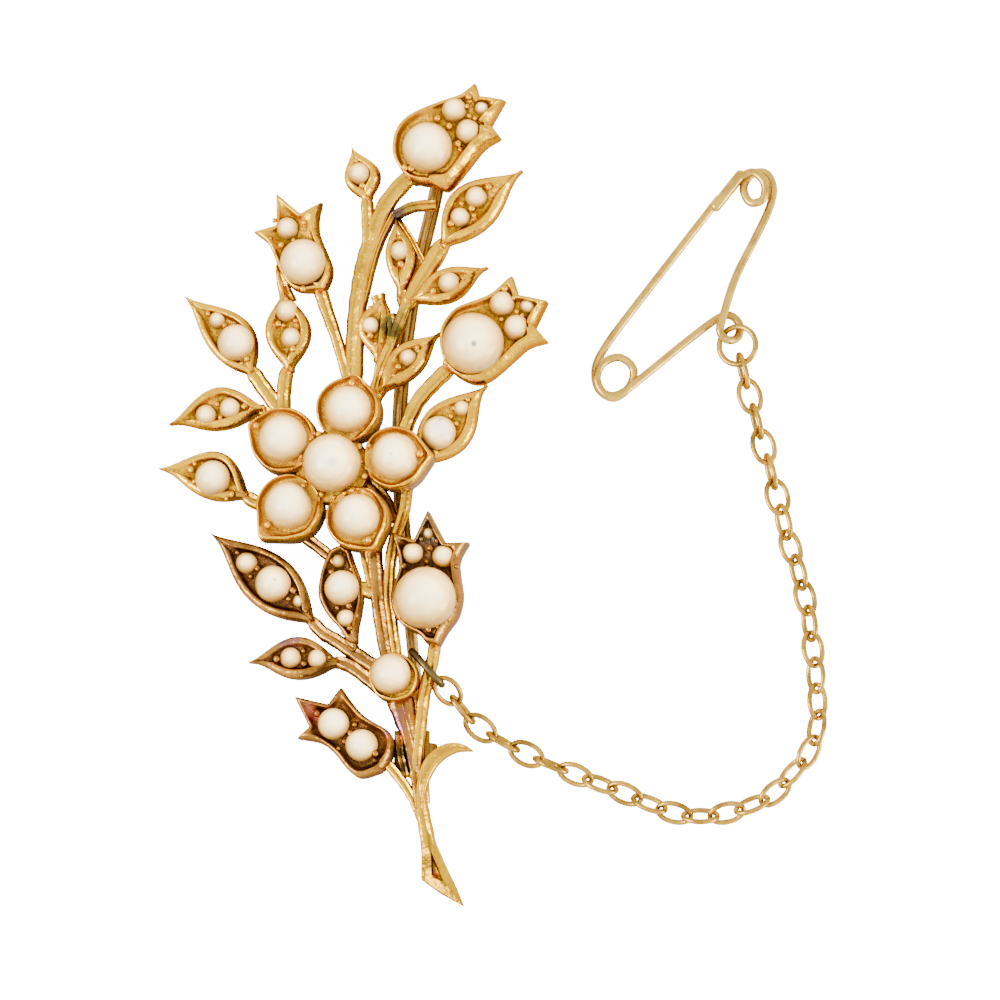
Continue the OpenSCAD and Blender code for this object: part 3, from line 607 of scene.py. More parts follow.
def trayRows(outline, tray, dips=None):
    # The loops of a tray from its underside, up its wall, over its rim and down to its floor.
    # outline holds pairs: a place on the tray's spine, and the way out from it to the edge.
    # The wall that looks to the lower right flares out, as wide as the tray's flank.
    edge = [spine + out for spine, out in outline]
    count = len(edge)
    rim, floor, rimWidth, slope = tray["rim"], tray["floor"], tray["rimWidth"], tray["slope"]
    foot = tray["foot"]
    dips = dips or [0] * count
    starts = [chance.uniform(0, fullTurn) for k in range(3)]
    shares = [k / trayShape["steps"] for k in range(trayShape["steps"] + 1)]
    marches, flanks, waves = [], [], []
    for i, ((spine, out), along) in enumerate(zip(outline, headings(edge, True))):
        marches.append([(share, rimDistance(spine + out * (1 - share), edge)) for share in shares])
        outward = Vector((along.y, -along.x)).normalized()
        if outward.dot(out) < 0:
            outward = -outward
        flanks.append(tray["flank"] * max(outward.dot(Vector(trayShape["flareTo"])), 0)
                      ** trayShape["flarePower"])
        turn = 2 * math.pi * i / count
        waves.append(sum(math.sin((k * 3 + 2) * turn + start) for k, start in enumerate(starts))
                     * trayShape["waver"])
    # The flare fades in and out along the wall
    for again in range(3):
        flanks = [(flanks[i - 1] + flanks[i] * 2 + flanks[(i + 1) % count]) / 4 for i in range(count)]

    def loop(inset, level, sunk=0.0, share=1.0, flanked=1):
        points = []
        for i, ((spine, out), march) in enumerate(zip(outline, marches)):
            want = inset + flanked * (flanks[i] + waves[i])
            deep, step = max((far, share) for share, far in march)
            full = easeIn(deep - flanks[i], rimWidth, rimWidth + slope * 0.7 + 0.1)
            if deep > want:
                for (s0, d0), (s1, d1) in zip(march, march[1:]):
                    if d1 >= want:
                        step = s0 + (s1 - s0) * max((want - d0) / max(d1 - d0, 1e-9), 0)
                        break
            top = rim - dips[i] + waves[i]
            place = spine + out * (1 - step) * share
            # The hollow is deep beside the pearls only
            far, girdle = besidePearl(place)
            shallow = trayShape["shallow"]
            full *= shallow + (1 - shallow) * easeIn(1.0 - far, *trayShape["deepens"])
            w = level if level < rim - 0.4 and not sunk else top - (rim - level)
            if sunk:
                # Where the tray is too narrow for a floor it fills up towards its rim
                brim = top - trayShape["brim"]
                w = brim - max(brim - level, 0.0) * full * sunk
                # A collar of gold hugs the larger pearls
                hug = easeIn(trayShape["collar"] - far, 0.0, trayShape["collarFade"])
                raised = w + (girdle - trayShape["underGirdle"] - w) * hug
                w = max(w, min(raised, top - trayShape["underRim"]))
            elif not flanked and level > foot + 0.2:
                # The wall is lower where it flares
                w = min(w, top - 0.2 - min(flanks[i] * 0.9, rim - foot - 0.5))
            points.append(onSprigLevel(place, w, rim))
        return points

    wall = [loop(inset, level, flanked=0)
            for inset, level in ((0.10, foot), (0.0, foot + 0.12), (0.0, rim - 0.2))]
    lip = [loop(rimWidth * share, rim - drop) for share, drop in ((0.3, 0.08), (0.7, 0), (1, 0.02))]
    hollow = [loop(rimWidth + slope * across, floor, sunk, share) for across, sunk, share in (
        (0.25, 0.45, 1), (0.6, 0.85, 1), (1, 1, 1), (1, 1, 0.8), (1, 1, 0.4), (1, 1, 0))]
    return wall + lip + hollow


# Radii of the gold grains
large, small = 0.24, 0.17


def addBeads(beads, floor):
    # Small grains of gold raised against the pearls: place, radius, height above the floor
    made = []
    for x, y, radius, lift in beads:
        bead = newObject("bead", bpy.ops.mesh.primitive_ico_sphere_add, subdivisions=2, radius=radius)
        bead.data.transform(Matrix.Diagonal((1, 1, 1.25, 1)))
        bead.data.transform(Matrix.Translation(onSprig((x, y), floor + lift)))
        setDepth(bead, rimDepth, 0.1)
        made.append(bead)
    return made


def makeTray(name, outline, tray, beads, gold, dips=None, withGapShade=True):
    piece = shapedGrid(name, trayRows(outline, tray, dips))
    soften(piece)
    # Painted shade in the crevices beside the pearls
    if withGapShade:
        paintGapShade(piece, tray["rim"])
    finishGold(joinPieces(name, [piece] + addBeads(beads, tray["floor"])), gold)


# Gold grains in each leaf
beads = {
    "leafTop": [(30.55, 11.65, large, 0.3), (28.85, 12.7, small, 0.3), (29.5, 13.0, large, 0.2),
        (29.65, 13.45, small, 0.15), (28.2, 13.95, large, 0.2), (29.15, 14.4, small, 0.15)],
    "leafFold": [(25.02, 14.82, small, 0.3), (25.05, 16.5, large, 0.2), (24.6, 17.0, small, 0.1)],
    "leafWing": [(29.0, 17.42, small, 0.3), (27.1, 18.2, large, 0.2), (26.6, 18.0, small, 0.2)],
    "leafInner": [(23.15, 19.25, small, 0.3), (23.15, 20.98, large, 0.25), (23.5, 21.5, small, 0.1)],
    "leafCross": [(26.1, 21.75, small, 0.3), (24.9, 22.95, large, 0.2), (24.6, 23.5, small, 0.2),
        (25.9, 22.95, small, 0.2)],
    "leafRight": [(28.4, 25.55, small, 0.2), (29.25, 25.0, small, 0.25), (28.2, 26.05, small, 0.25),
        (27.2, 28.3, large, 0.2), (28.55, 26.5, small, 0.2), (26.6, 28.2, small, 0.2)],
    "leafBud": [(22.25, 10.0, small, 0.3), (22.65, 11.55, large, 0.2)],
    "leafTwin": [(17.88, 18.68, small, 0.3), (18.45, 20.05, small, 0.2), (17.4, 20.25, large, 0.2),
        (18.33, 21.85, large, 0.25), (17.75, 20.35, small, 0.1)],
    "leafCurl": [(14.05, 20.35, small, 0.25), (15.45, 22.45, large, 0.3), (15.1, 22.75, small, 0.2),
        (13.0, 19.6, small, 0.2)],
    "leafWest": [(15.3, 25.45, large, 0.2), (13.6, 25.3, small, 0.25), (13.8, 26.15, small, 0.2),
        (12.2, 26.4, small, 0.25)],
    "leafLowWest": [(11.95, 29.4, large, 0.3), (12.2, 29.05, small, 0.25), (14.55, 30.95, large, 0.25),
        (12.15, 30.15, small, 0.2), (14.2, 31.2, small, 0.15)],
    "leafLong": [(14.85, 34.6, small, 0.25), (16.15, 35.6, large, 0.2), (18.35, 36.95, large, 0.3),
        (18.05, 37.5, small, 0.25), (19.15, 38.25, small, 0.2), (15.7, 36.1, small, 0.1)],
    "leafLow": [(17.33, 41.25, large, 0.3), (19.03, 41.55, large, 0.15), (19.0, 40.75, small, 0.15),
        (20.65, 41.15, small, 0.25), (18.9, 42.3, small, 0.1)]}

for name, (base, tip, left, right, widest, gold) in leaves.items():
    outline = leafSide(base, tip, left, widest) + leafSide(base, tip, -right, widest)[-2::-1]
    lengths = [(spine - Vector(base)).length for spine, out in outline]
    dips = [leafShape["neckDrop"] * (1 - easeIn(length, 0.1, leafShape["neckLength"]))
            for length in lengths]
    makeTray(name, outline, leafShape, beads[name], gold, dips)
print("leaves made")

tulipShape = {"rimWidth": 0.24, "slope": 0.28, "foot": 0.0}
# Tulips and the blunt upright leaf: one side from the base, the tips with the notches between them, the
# other side back to the base; then floor, rim, how far the lower right wall flares, gold
tulips = {
    "tulipTop": ([(25.5, 11.15), (24.9, 10.4), (24.45, 9.4), (24.62, 8.1), (25.3, 7.2), (26.4, 6.6),
        (27.6, 6.15), (28.85, 5.7)], [(29.6, 4.95), (29.85, 5.85), (31.5, 6.05), (30.6, 7.65),
        (31.25, 8.5)], [(30.2, 9.1), (29.4, 10.1), (28.6, 11.1), (27.85, 11.85), (27.1, 11.5),
        (26.3, 11.45)], 1.2, 1.75, 0.5, "bright"),
    "tulipRight": ([(27.75, 22.75), (27.5, 21.9), (27.4, 20.75), (27.85, 19.8), (28.5, 19.15),
        (29.5, 18.75), (30.5, 18.35), (31.15, 17.85)], [(31.9, 17.05), (32.3, 18.35), (34.15, 18.7),
        (33.35, 20.35), (34.2, 21.3)], [(33.0, 21.6), (32.05, 22.4), (31.05, 23.3), (30.1, 23.9),
        (29.2, 23.85), (28.3, 23.35)], 1.2, 1.75, 0.36, "bright"),
    "tulipLeft": ([(19.3, 18.2), (18.4, 18.1), (17.7, 17.4), (17.3, 16.6), (17.0, 15.8), (16.65, 15.1)],
        [(15.7, 14.4), (17.2, 14.0), (17.2, 11.95), (18.75, 13.25), (20.1, 12.45)], [(19.85, 13.5),
        (19.9, 14.5), (20.35, 15.6), (20.72, 16.6), (20.6, 17.5), (20.2, 18.2)], 0.95, 1.45, 0.25,
        "bright"),
    "tulipLow": ([(26.55, 40.2), (26.1, 39.6), (25.2, 39.15), (24.55, 38.3), (24.35, 37.3),
        (24.6, 36.4), (24.9, 35.4), (24.75, 34.3)], [(24.35, 33.2), (25.85, 33.7), (26.7, 31.8),
        (27.8, 33.9), (29.3, 33.8)], [(28.65, 34.9), (28.7, 36.0), (28.85, 37.2), (28.55, 38.5),
        (27.85, 39.45), (27.35, 40.4)], 1.15, 1.75, 0.25, "dark"),
    "tulipFoot": ([(23.9, 48.2), (23.2, 48.45), (22.4, 48.6), (21.6, 48.0), (20.9, 47.1), (20.1, 46.45),
        (19.3, 46.25)], [(18.5, 46.15), (19.3, 45.45), (18.35, 43.5), (20.5, 44.0), (21.3, 42.9)],
        [(21.85, 43.7), (22.6, 44.6), (23.5, 45.2), (24.3, 45.7), (24.65, 46.6), (24.35, 47.6)], 0.85,
        1.35, 0.25, "dark"),
    "leafUpright": ([(21.7, 40.2), (21.2, 39.3), (20.38, 38.4), (19.86, 37.3), (19.95, 36.2),
        (20.2, 35.2)], [(20.55, 34.4), (20.85, 34.2), (21.3, 34.05), (21.7, 34.25), (21.95, 34.5)],
        [(22.15, 35.2), (22.5, 36.1), (22.7, 37.2), (22.55, 38.4), (22.35, 39.4), (22.35, 40.3)], 0.8,
        1.2, 0.14, "dark")}
tulipBeads = {
    "tulipTop": [(27.35, 7.35, large, 0.35), (28.1, 7.85, large, 0.3), (29.35, 7.2, small, 0.3),
        (29.7, 7.35, small, 0.3), (30.1, 7.45, small, 0.3), (28.65, 8.95, large, 0.3),
        (28.75, 9.3, small, 0.2), (30.3, 8.05, small, 0.3), (25.3, 10.45, large, 0.4),
        (25.7, 10.5, large, 0.4), (29.3, 6.0, large, 0.3), (29.2, 6.6, small, 0.3),
        (30.85, 6.35, large, 0.25)],
    "tulipRight": [(30.35, 19.9, large, 0.3), (31.35, 20.0, small, 0.3), (32.3, 19.5, small, 0.3),
        (32.65, 19.75, small, 0.25), (31.35, 21.55, large, 0.3), (31.55, 18.05, large, 0.35),
        (33.55, 19.3, small, 0.3), (33.2, 20.9, small, 0.3), (27.9, 22.7, large, 0.35),
        (32.1, 18.65, small, 0.3)],
    "tulipLeft": [(18.35, 15.0, small, 0.3), (17.6, 15.3, large, 0.3), (17.15, 13.75, small, 0.3),
        (19.0, 13.9, small, 0.3), (16.9, 14.9, small, 0.2), (18.95, 18.05, large, 0.35),
        (19.5, 14.4, small, 0.25)],
    "tulipLow": [(25.25, 35.45, large, 0.3), (26.9, 34.3, large, 0.3), (26.7, 35.15, small, 0.3),
        (26.75, 35.5, small, 0.2), (28.55, 35.45, small, 0.3), (26.8, 39.4, large, 0.4),
        (27.4, 39.25, small, 0.3), (26.35, 33.75, small, 0.3), (27.3, 33.85, small, 0.3)],
    "tulipFoot": [(19.85, 44.65, large, 0.3), (21.95, 45.9, large, 0.25), (21.2, 46.85, small, 0.2),
        (21.55, 46.4, small, 0.25), (23.5, 47.15, large, 0.3), (22.2, 45.35, small, 0.2)],
    "leafUpright": [(20.75, 35.8, large, 0.3), (22.0, 35.65, small, 0.25), (21.85, 37.9, large, 0.2),
        (21.1, 38.05, small, 0.2), (21.9, 39.3, large, 0.3), (21.5, 39.6, small, 0.2)]}


def tulipOutline(left, tips, right):
    # Smooth sides and straight-edged tips, each place with its own place on the spine
    left, tips, right = ([Vector(p) for p in part] for part in (left, tips, right))
    base = (left[0] + right[-1]) / 2
    heart = (tips[1] + tips[3]) / 2 + (base - tips[2]) * 0.12
    sides = [smoothLine(left + [tips[0]], 3)[:-1], smoothLine([tips[-1]] + right, 3)[1:]]
    edge = list(sides[0])
    for a, b in zip(tips, tips[1:]):
        edge += [a + (b - a) * share for share in (0.0, 0.08, 0.3, 0.6, 0.92)]
    edge += [tips[-1]] + sides[1]
    outline = []
    for place in edge:
        share = (place - base).dot(heart - base) / (heart - base).length_squared
        spine = base + (heart - base) * min(max(share, 0.14), 1)
        outline.append((spine, place - spine))
    return outline


for name, (left, tips, right, low, high, flank, gold) in tulips.items():
    tray = {**tulipShape, "floor": low, "rim": high, "flank": flank}
    makeTray(name, tulipOutline(left, tips, right), tray, tulipBeads[name], gold)
print("tulips made")

# The flower: petal cups round a disc
flower = {"floor": 1.90, "rim": 2.3, "rimWidth": 0.17, "slope": 0.22, "foot": 0.2, "flank": 0.16,
          "discAt": (20.75, 29.2), "discRadius": 2.3, "discTop": 1.5}
# Petals: middle, radius, tip
petals = {
    "petalTop": ((21.73, 25.6), 2.04, (22.2, 23.25)),
    "petalRight": ((24.65, 28.6), 2.0, (27.15, 28.45)),
    "petalLowRight": ((22.3, 32.35), 2.0, (23.5, 34.5)),
    "petalLowLeft": ((18.08, 31.7), 2.1, (16.1, 33.75)),
    "petalLeft": ((17.7, 27.5), 2.1, (15.4, 26.45))}
petalBeads = {
    "petalTop": [(22.0, 23.95, large, 0.5), (21.3, 27.3, small, 0.4)],
    "petalRight": [(26.25, 28.4, large, 0.4), (23.1, 27.9, small, 0.3)],
    "petalLowRight": [(23.05, 33.8, large, 0.5), (22.0, 30.7, small, 0.4)],
    "petalLowLeft": [(16.75, 32.85, large, 0.5), (19.0, 30.4, small, 0.4)],
    "petalLeft": [(16.05, 26.65, large, 0.5), (18.85, 28.6, small, 0.4)]}
discBeads = [(19.95, 27.2, large, 0.3), (18.85, 28.7, large, 0.4), (19.15, 30.35, small, 0.3),
    (22.5, 27.95, large, 0.3), (22.8, 29.8, large, 0.3), (22.1, 30.6, small, 0.3),
    (20.1, 30.95, large, 0.3), (20.9, 31.15, small, 0.3), (22.6, 28.9, small, 0.2),
    (19.45, 27.5, small, 0.3), (22.9, 29.3, small, 0.2), (21.6, 30.9, large, 0.2)]


def petalOutline(middle, radius, tip, steps=44):
    middle, tip = Vector(middle), Vector(tip)
    aim = math.atan2(tip.y - middle.y, tip.x - middle.x)
    touch = math.acos(radius / (tip - middle).length)
    outline = []
    for i in range(steps):
        turn = 2 * math.pi * i / steps
        # Off the circle the walls run straight to the tip, touching the circle
        away = min(turn, 2 * math.pi - turn)
        out = radius / math.cos(touch - away) if away < touch else radius
        outline.append((middle, Vector((math.cos(aim + turn), math.sin(aim + turn))) * out))
    return outline


for name, (middle, radius, tip) in petals.items():
    outline = petalOutline(middle, radius, tip)
    # The walls are worn down where they meet the middle pearl
    dips = [0.5 * easeIn(2.75 - (spine + out - Vector(flower["discAt"])).length, 0, 0.9)
            for spine, out in outline]
    makeTray(name, outline, flower, petalBeads[name], "cup", dips, withGapShade=False)

discMiddle = onSprig(flower["discAt"], flower["discTop"])
disc = newObject("disc", bpy.ops.mesh.primitive_cylinder_add, vertices=48, radius=flower["discRadius"],
                 depth=flower["discTop"] - flower["foot"],
                 location=(discMiddle.x, discMiddle.y, (flower["discTop"] + flower["foot"]) / 2))
editMesh(disc, (bpy.ops.mesh.bevel, {"offset": 0.12, "segments": 3}))
disc.data.transform(disc.matrix_world)
disc.matrix_world = Matrix.Identity(4)
setDepth(disc, grainDepth, 0.5)
finishGold(joinPieces("flowerDisc", [disc] + addBeads(discBeads, flower["discTop"])), "bright")

collet = {"middle": (24.56, 42.3), "radius": 1.56, "floor": 1.35, "rim": 1.9, "rimWidth": 0.2,
          "slope": 0.1, "foot": 0.1, "flank": 0.0}
makeTray("collet", [(Vector(collet["middle"]), collet["radius"] * Vector(way)) for way in circle(48)],
         collet, [], "bright", withGapShade=False)
print("flower and collet made")

# What all stems share: levels, how their ends run out, how much their width wavers, from how far
# they join a leaf's foot and how far they run on under it
stemShape = {"top": 0.95, "bottom": 0.05, "steps": 6, "endShare": 0.3, "endSink": 0.3, "taper": 1.25,
             "fuller": 1.06, "waver": 0.04, "joinWithin": 0.75, "runOn": (0.25, 0.95)}
# Stems by their gold: width at the start, width at the end, places along each
stems = {
    "bright": [
        (1.1, 0.95, [(22.0, 24.0), (22.1, 21.4), (22.25, 19.3), (22.5, 17.4), (22.8, 16.0),
            (23.3, 14.5), (24.1, 12.6), (25.5, 11.0)]),
        (0.8, 0.7, [(22.85, 12.2), (22.9, 13.5), (22.95, 15.2)]),
        (0.3, 0.45, [(22.75, 18.8), (23.25, 16.6), (23.8, 14.9), (24.6, 13.3)]),
        (0.62, 0.66, [(24.6, 13.4), (25.7, 12.85), (27.2, 12.7)]),
        (1.25, 0.75, [(27.7, 15.0), (26.8, 16.5), (26.0, 17.8), (25.4, 18.9)]),
        (0.65, 0.8, [(25.4, 18.6), (24.6, 20.9), (23.7, 23.0), (23.2, 25.0)]),
        (0.95, 0.85, [(28.0, 23.0), (26.95, 24.0), (25.95, 25.2), (25.2, 26.9)]),
        (0.9, 0.8, [(26.0, 28.8), (25.4, 29.6)]),
        (1.05, 0.6, [(19.9, 18.0), (20.3, 19.2), (21.0, 21.2), (21.65, 23.6)]),
        (0.2, 1.0, [(17.3, 16.5), (17.5, 17.3), (17.95, 18.8)]),
        (0.74, 0.8, [(23.5, 18.4), (23.72, 19.0), (24.1, 19.9)]),
        (0.7, 0.6, [(24.3, 19.6), (24.45, 20.5), (24.3, 21.6)]),
        (0.95, 0.8, [(17.9, 22.9), (17.7, 24.1), (17.65, 25.8)]),
        (0.95, 0.95, [(15.6, 23.0), (16.35, 24.1), (17.4, 25.5)]),
        (0.75, 0.8, [(16.1, 25.6), (17.2, 25.9)]),
        (0.8, 0.9, [(15.1, 30.8), (16.1, 31.4), (17.2, 31.2)]),
        (0.9, 1.1, [(22.5, 36.8), (23.4, 36.9)]),
        (0.8, 0.45, [(24.3, 47.85), (25.15, 48.9), (25.75, 49.9), (26.2, 51.0), (26.45, 51.9)]),
        (0.75, 0.7, [(27.15, 39.8), (27.0, 41.1), (26.65, 42.5), (26.4, 43.8), (26.1, 46.7),
            (25.9, 48.6)]),
        (0.75, 0.6, [(25.2, 27.4), (25.4, 29.5), (25.2, 31.8), (24.5, 34.1), (24.25, 36.8),
            (24.45, 38.8), (24.75, 41.0)]),
        (0.5, 0.55, [(22.6, 34.0), (22.85, 35.2), (23.2, 36.7)]),
        (0.3, 0.34, [(24.9, 13.7), (25.7, 14.9), (26.5, 16.5)]),
        (0.75, 0.9, [(26.15, 49.6), (26.45, 51.2), (26.75, 52.8)])],
    "dark": [
        (0.75, 0.9, [(19.3, 38.6), (20.1, 39.5), (21.1, 40.1), (22.4, 41.0), (23.6, 41.8)]),
        (0.85, 0.8, [(21.0, 41.3), (22.0, 41.7), (23.1, 42.55), (24.1, 43.35)]),
        (0.5, 0.5, [(21.5, 39.9), (22.1, 40.6)]),
        (0.75, 0.7, [(18.7, 33.35), (19.7, 34.05), (21.0, 35.1)]),
        (0.62, 0.5, [(24.95, 46.0), (25.0, 47.0), (25.35, 48.5)]),
        (0.95, 0.6, [(23.25, 33.4), (23.4, 35.4), (23.6, 37.6), (23.95, 40.0), (24.4, 42.2),
            (24.9, 44.2), (25.5, 46.3), (25.95, 48.5), (26.2, 50.6)]),
        (0.9, 0.8, [(22.9, 30.0), (23.9, 31.1), (24.5, 32.6)]),
        (1.75, 0.4, [(24.9, 43.4), (25.3, 45.0), (25.7, 46.6), (26.0, 48.6)])]}
# Cross section of a stem: share of the half width, level below the top
stemSection = [(-0.8, -0.9), (-1.0, -0.72), (-1.0, -0.34), (-0.9, -0.14), (-0.62, -0.02), (-0.3, -0.01),
    (0.02, -0.08), (0.24, -0.15), (0.46, -0.12), (0.72, -0.1), (0.93, -0.22), (1.0, -0.4), (1.0, -0.72),
    (0.8, -0.9)]
# How dark the line of shade is along each place of the cross section
stemShades = (0.6, 0.5, 0.4, 0.25, 0.0, 0.0, 0.1, 0.45, 0.1, 0.0, 0.2, 0.4, 0.5, 0.6)


def bandRow(point, along, half, top, bottom, section):
    # One loop of a band: its cross section set square to the way on
    side = Vector((-along.y, along.x, 0)).normalized()
    middle = Vector((point.x, point.y, 0))
    return [middle + side * half * share + Vector((0, 0, max(top + level, bottom)))
            for share, level in section]


def stemRows(line, startWidth, endWidth, tapers):
    # tapers tells which ends run out under a leaf and so grow narrow and sink
    rows = []
    for i, (point, along) in enumerate(zip(line, headings(line))):
        half = (startWidth + (endWidth - startWidth) * i / (len(line) - 1)) / 2
        sink = 0.0
        for tapered, end in zip(tapers, (line[0], line[-1])):
            if tapered:
                near = easeIn((point - end).length, 0.1, stemShape["taper"])
                half *= stemShape["endShare"] + (1 - stemShape["endShare"]) * near
                sink = max(sink, stemShape["endSink"] * (1 - near))
        # A stem filed by hand is never quite even
        half *= stemShape["fuller"] + stemShape["waver"] * math.sin(i * 1.7 + startWidth * 9)
        top, bottom = stemShape["top"] - sink, stemShape["bottom"]
        rows.append(bandRow(point, along, half, top, bottom, stemSection))
    return rows


def shadeBand(piece, shades):
    # U runs once round the cross section
    notes = {loop.vertex_index: shades[round(uv.uv.x * len(shades)) % len(shades)]
             for loop, uv in zip(piece.data.loops, piece.data.uv_layers[0].data)}
    paintShade(piece, [notes.get(index, 0) for index in range(len(piece.data.vertices))])
    setDepth(piece, rimDepth)


leafFeet = [(Vector(row[0]), (Vector(row[1]) - Vector(row[0])).normalized()) for row in leaves.values()]
for left, tips, right, *levels in tulips.values():
    base = (Vector(left[0]) + Vector(right[-1])) / 2
    leafFeet.append((base, (Vector(tips[2]) - base).normalized()))


def intoLeaf(place):
    # Where an end meets a leaf's foot, the stem runs on under it
    for foot, aim in leafFeet:
        if (foot - Vector(place)).length < stemShape["joinWithin"]:
            return [tuple(foot + aim * further) for further in stemShape["runOn"]]
    return []


for gold, rows in stems.items():
    made = []
    for startWidth, endWidth, places in rows:
        before, after = intoLeaf(places[0])[::-1], intoLeaf(places[-1])
        line = [onSprig(p, stemShape["top"]) for p in before + places + after]
        line = smoothLine(line, stemShape["steps"])
        tapers = (bool(before), bool(after))
        made.append(shapedGrid("stem", stemRows(line, startWidth, endWidth, tapers)))
        shadeBand(made[-1], stemShades)
    finishGold(joinPieces("stems" + gold.capitalize(), made), gold)
print("stems made")

# Levels and bevel of the curled leaf and the foot
flat = {"top": 0.95, "bottom": 0.0, "bevel": 0.09}
# The curled leaf is a narrow curved band: places along it and its width there
curledLeaf = [((26.2, 50.6), 0.5), ((26.3, 49.4), 0.62), ((26.5, 48.5), 0.8), ((26.95, 47.6), 0.92),
    ((27.65, 46.98), 0.86), ((28.4, 46.72), 0.66), ((29.0, 46.75), 0.4), ((29.5, 46.9), 0.06)]
curledSection = [(-0.85, -0.95), (-1.0, -0.6), (-1.0, -0.22), (-0.86, -0.04), (-0.5, -0.02),
    (0.0, -0.16), (0.5, -0.12), (0.84, 0.0), (1.0, -0.18), (1.0, -0.6), (0.85, -0.95)]
curledShades = (0.6, 0.5, 0.4, 0.1, 0.0, 0.35, 0.1, 0.0, 0.3, 0.5, 0.6)
spineLine = smoothLine([onSprig(place, flat["top"]) for place, width in curledLeaf], 4)
widths = smoothLine([Vector((width, 0, 0)) for place, width in curledLeaf], 4)
curled = shapedGrid("curledLeaf", [
    bandRow(point, along, max(width.x, 0.06) / 2, flat["top"], flat["bottom"], curledSection)
    for point, along, width in zip(spineLine, headings(spineLine), widths)])
shadeBand(curled, curledShades)
soften(curled)
finishGold(curled, "bright")

# The foot ends in facets round a sunk triangle
footSpine = [Vector(p) for p in [(26.7, 52.4), (27.0, 53.6), (27.25, 54.6), (27.9, 55.6)]]
footSpine = smoothLine(footSpine, 8)
footPlaces = [(26.15, 51.6), (26.3, 53.3), (26.3, 54.95), (27.4, 55.75), (28.95, 56.6), (28.5, 55.45),
    (27.8, 54.0), (27.15, 52.5), (26.95, 51.6)]
sunk = [Vector(p) for p in [(26.95, 53.2), (26.98, 54.85), (27.75, 55.12)]]
middle = Vector((27.15, 54.35))


def triangleReach(aim):
    # How far the sunk triangle reaches from its middle in that direction
    reach = []
    for k, a in enumerate(sunk):
        b = sunk[(k + 1) % 3]
        normal = Vector((b.y - a.y, a.x - b.x)).normalized()
        if normal.dot(a - middle) < 0:
            normal = -normal
        if normal.dot(aim) > 1e-3:
            reach.append(normal.dot(a - middle) / normal.dot(aim))
    return min(reach)


edge, drawn, inner = [], [], []
for a, b in zip(footPlaces, footPlaces[1:] + footPlaces[:1]):
    for k in range(3):
        place = Vector(a) + (Vector(b) - Vector(a)) * k / 3
        spine = min(footSpine, key=lambda p: (p - place).length)
        out = place - spine
        aim = (spine + out - middle).normalized()
        edge.append(spine + out)
        drawn.append(spine + out * max(1 - flat["bevel"] / max(out.length, 0.01), 0))
        inner.append(middle + aim * triangleReach(aim))
# Loops from the underside up: places, level
footLoops = [(drawn, 0.05), (edge, 0.2), (edge, flat["top"] - 0.28), (drawn, flat["top"] - 0.16),
             (inner, flat["top"])]
footLoops += [([middle + (p - middle) * share for p in inner], flat["top"] - drop)
              for share, drop in ((0.88, 0.16), (0.5, 0.3), (0, 0.34))]
foot = shapedGrid("foot", [[onSprigLevel(place, level, flat["top"]) for place in places]
                           for places, level in footLoops])
setDepth(foot, rimDepth)


# How dark the sunk triangle and the facets are, where the bright facets begin and end, in degrees
# from the right, and the levels and the reach of what counts as sunk
footShades = {"sunk": 0.8, "bright": 0.25, "dark": 0.7, "turns": (-97, 51), "levels": (0.5, 0.7),
              "reach": 0.6}


def footShade(point):
    spot = measured(point) - middle
    low, high = footShades["levels"]
    if low < point.z < high and spot.length < footShades["reach"]:
        return footShades["sunk"]
    start, end = footShades["turns"]
    return footShades["bright" if start < math.degrees(math.atan2(spot.y, spot.x)) < end else "dark"]


paintShade(foot, [footShade(vertex.co) for vertex in foot.data.vertices])
finishGold(foot, "bright", 25)

# The back: hinge, catch, back wire and the pin itself. The ears and the stand of the catch run up to
# their tops, inside the stems, and the shaft starts inside the knuckle. The hook's arc is in degrees
pinShape = {"radius": 0.38, "knuckle": 0.62, "knuckleLength": 0.9, "rivet": 0.22, "gap": 0.08,
            "sheet": 0.35, "hook": 0.85, "hookLength": 1.4, "hookFrom": -44, "hookTurn": 268,
            "hookSteps": 24, "bevel": 0.05, "earTop": 0.3, "standTop": 0.35, "backWire": 0.4,
            "backWireMove": (0.35, 0, -0.1), "shaftInside": 0.15, "pointShare": 0.2, "steps": 6}
# The plate under the catch: two corners, their levels from the back, and its bevel
catchPlate = {"low": (-0.6, -1.6, -0.3), "high": (2.0, 0.6, 0.05), "bevel": 0.06}
pinLine = [(27.4, 10.75), (26.9, 13.2), (26.0, 17.0), (25.35, 21.0), (24.95, 25.0), (24.85, 29.0),
    (25.15, 33.5), (25.6, 38.5), (26.1, 43.5), (26.5, 47.3), (26.85, 50.3)]
catchAt = (26.5, 47.3)


def seatedLevel(u, radius):
    # Level at which a round part's lower edge meets the surface
    return math.cos(lean) * (radius * math.cos(lean) - restLift - u * math.sin(lean))


hingeFlat, tipFlat, catchFlat = onSprig(pinLine[0], 0), onSprig(pinLine[-1], 0), onSprig(catchAt, 0)
pinTurn = math.atan2(tipFlat.y - hingeFlat.y, tipFlat.x - hingeFlat.x)
earFar = pinShape["knuckleLength"] / 2 + pinShape["gap"] + pinShape["sheet"]
axisLevel = seatedLevel(hingeFlat.x - earFar, pinShape["knuckle"])
hookInside = pinShape["hook"] - pinShape["sheet"]
hookLevel = seatedLevel(catchFlat.x - hookInside, math.sqrt(pinShape["hook"] ** 2 - hookInside ** 2))


def pinPoint(place):
    share = (place.y - pinLine[0][1]) / (catchAt[1] - pinLine[0][1])
    return onSprig(place, axisLevel + (hookLevel - axisLevel) * share)


pinPoints = [pinPoint(p) for p in smoothLine([Vector(p) for p in pinLine], pinShape["steps"])]
onHinge = Matrix.Translation(pinPoints[0]) @ Matrix.Rotation(pinTurn, 4, "Z")


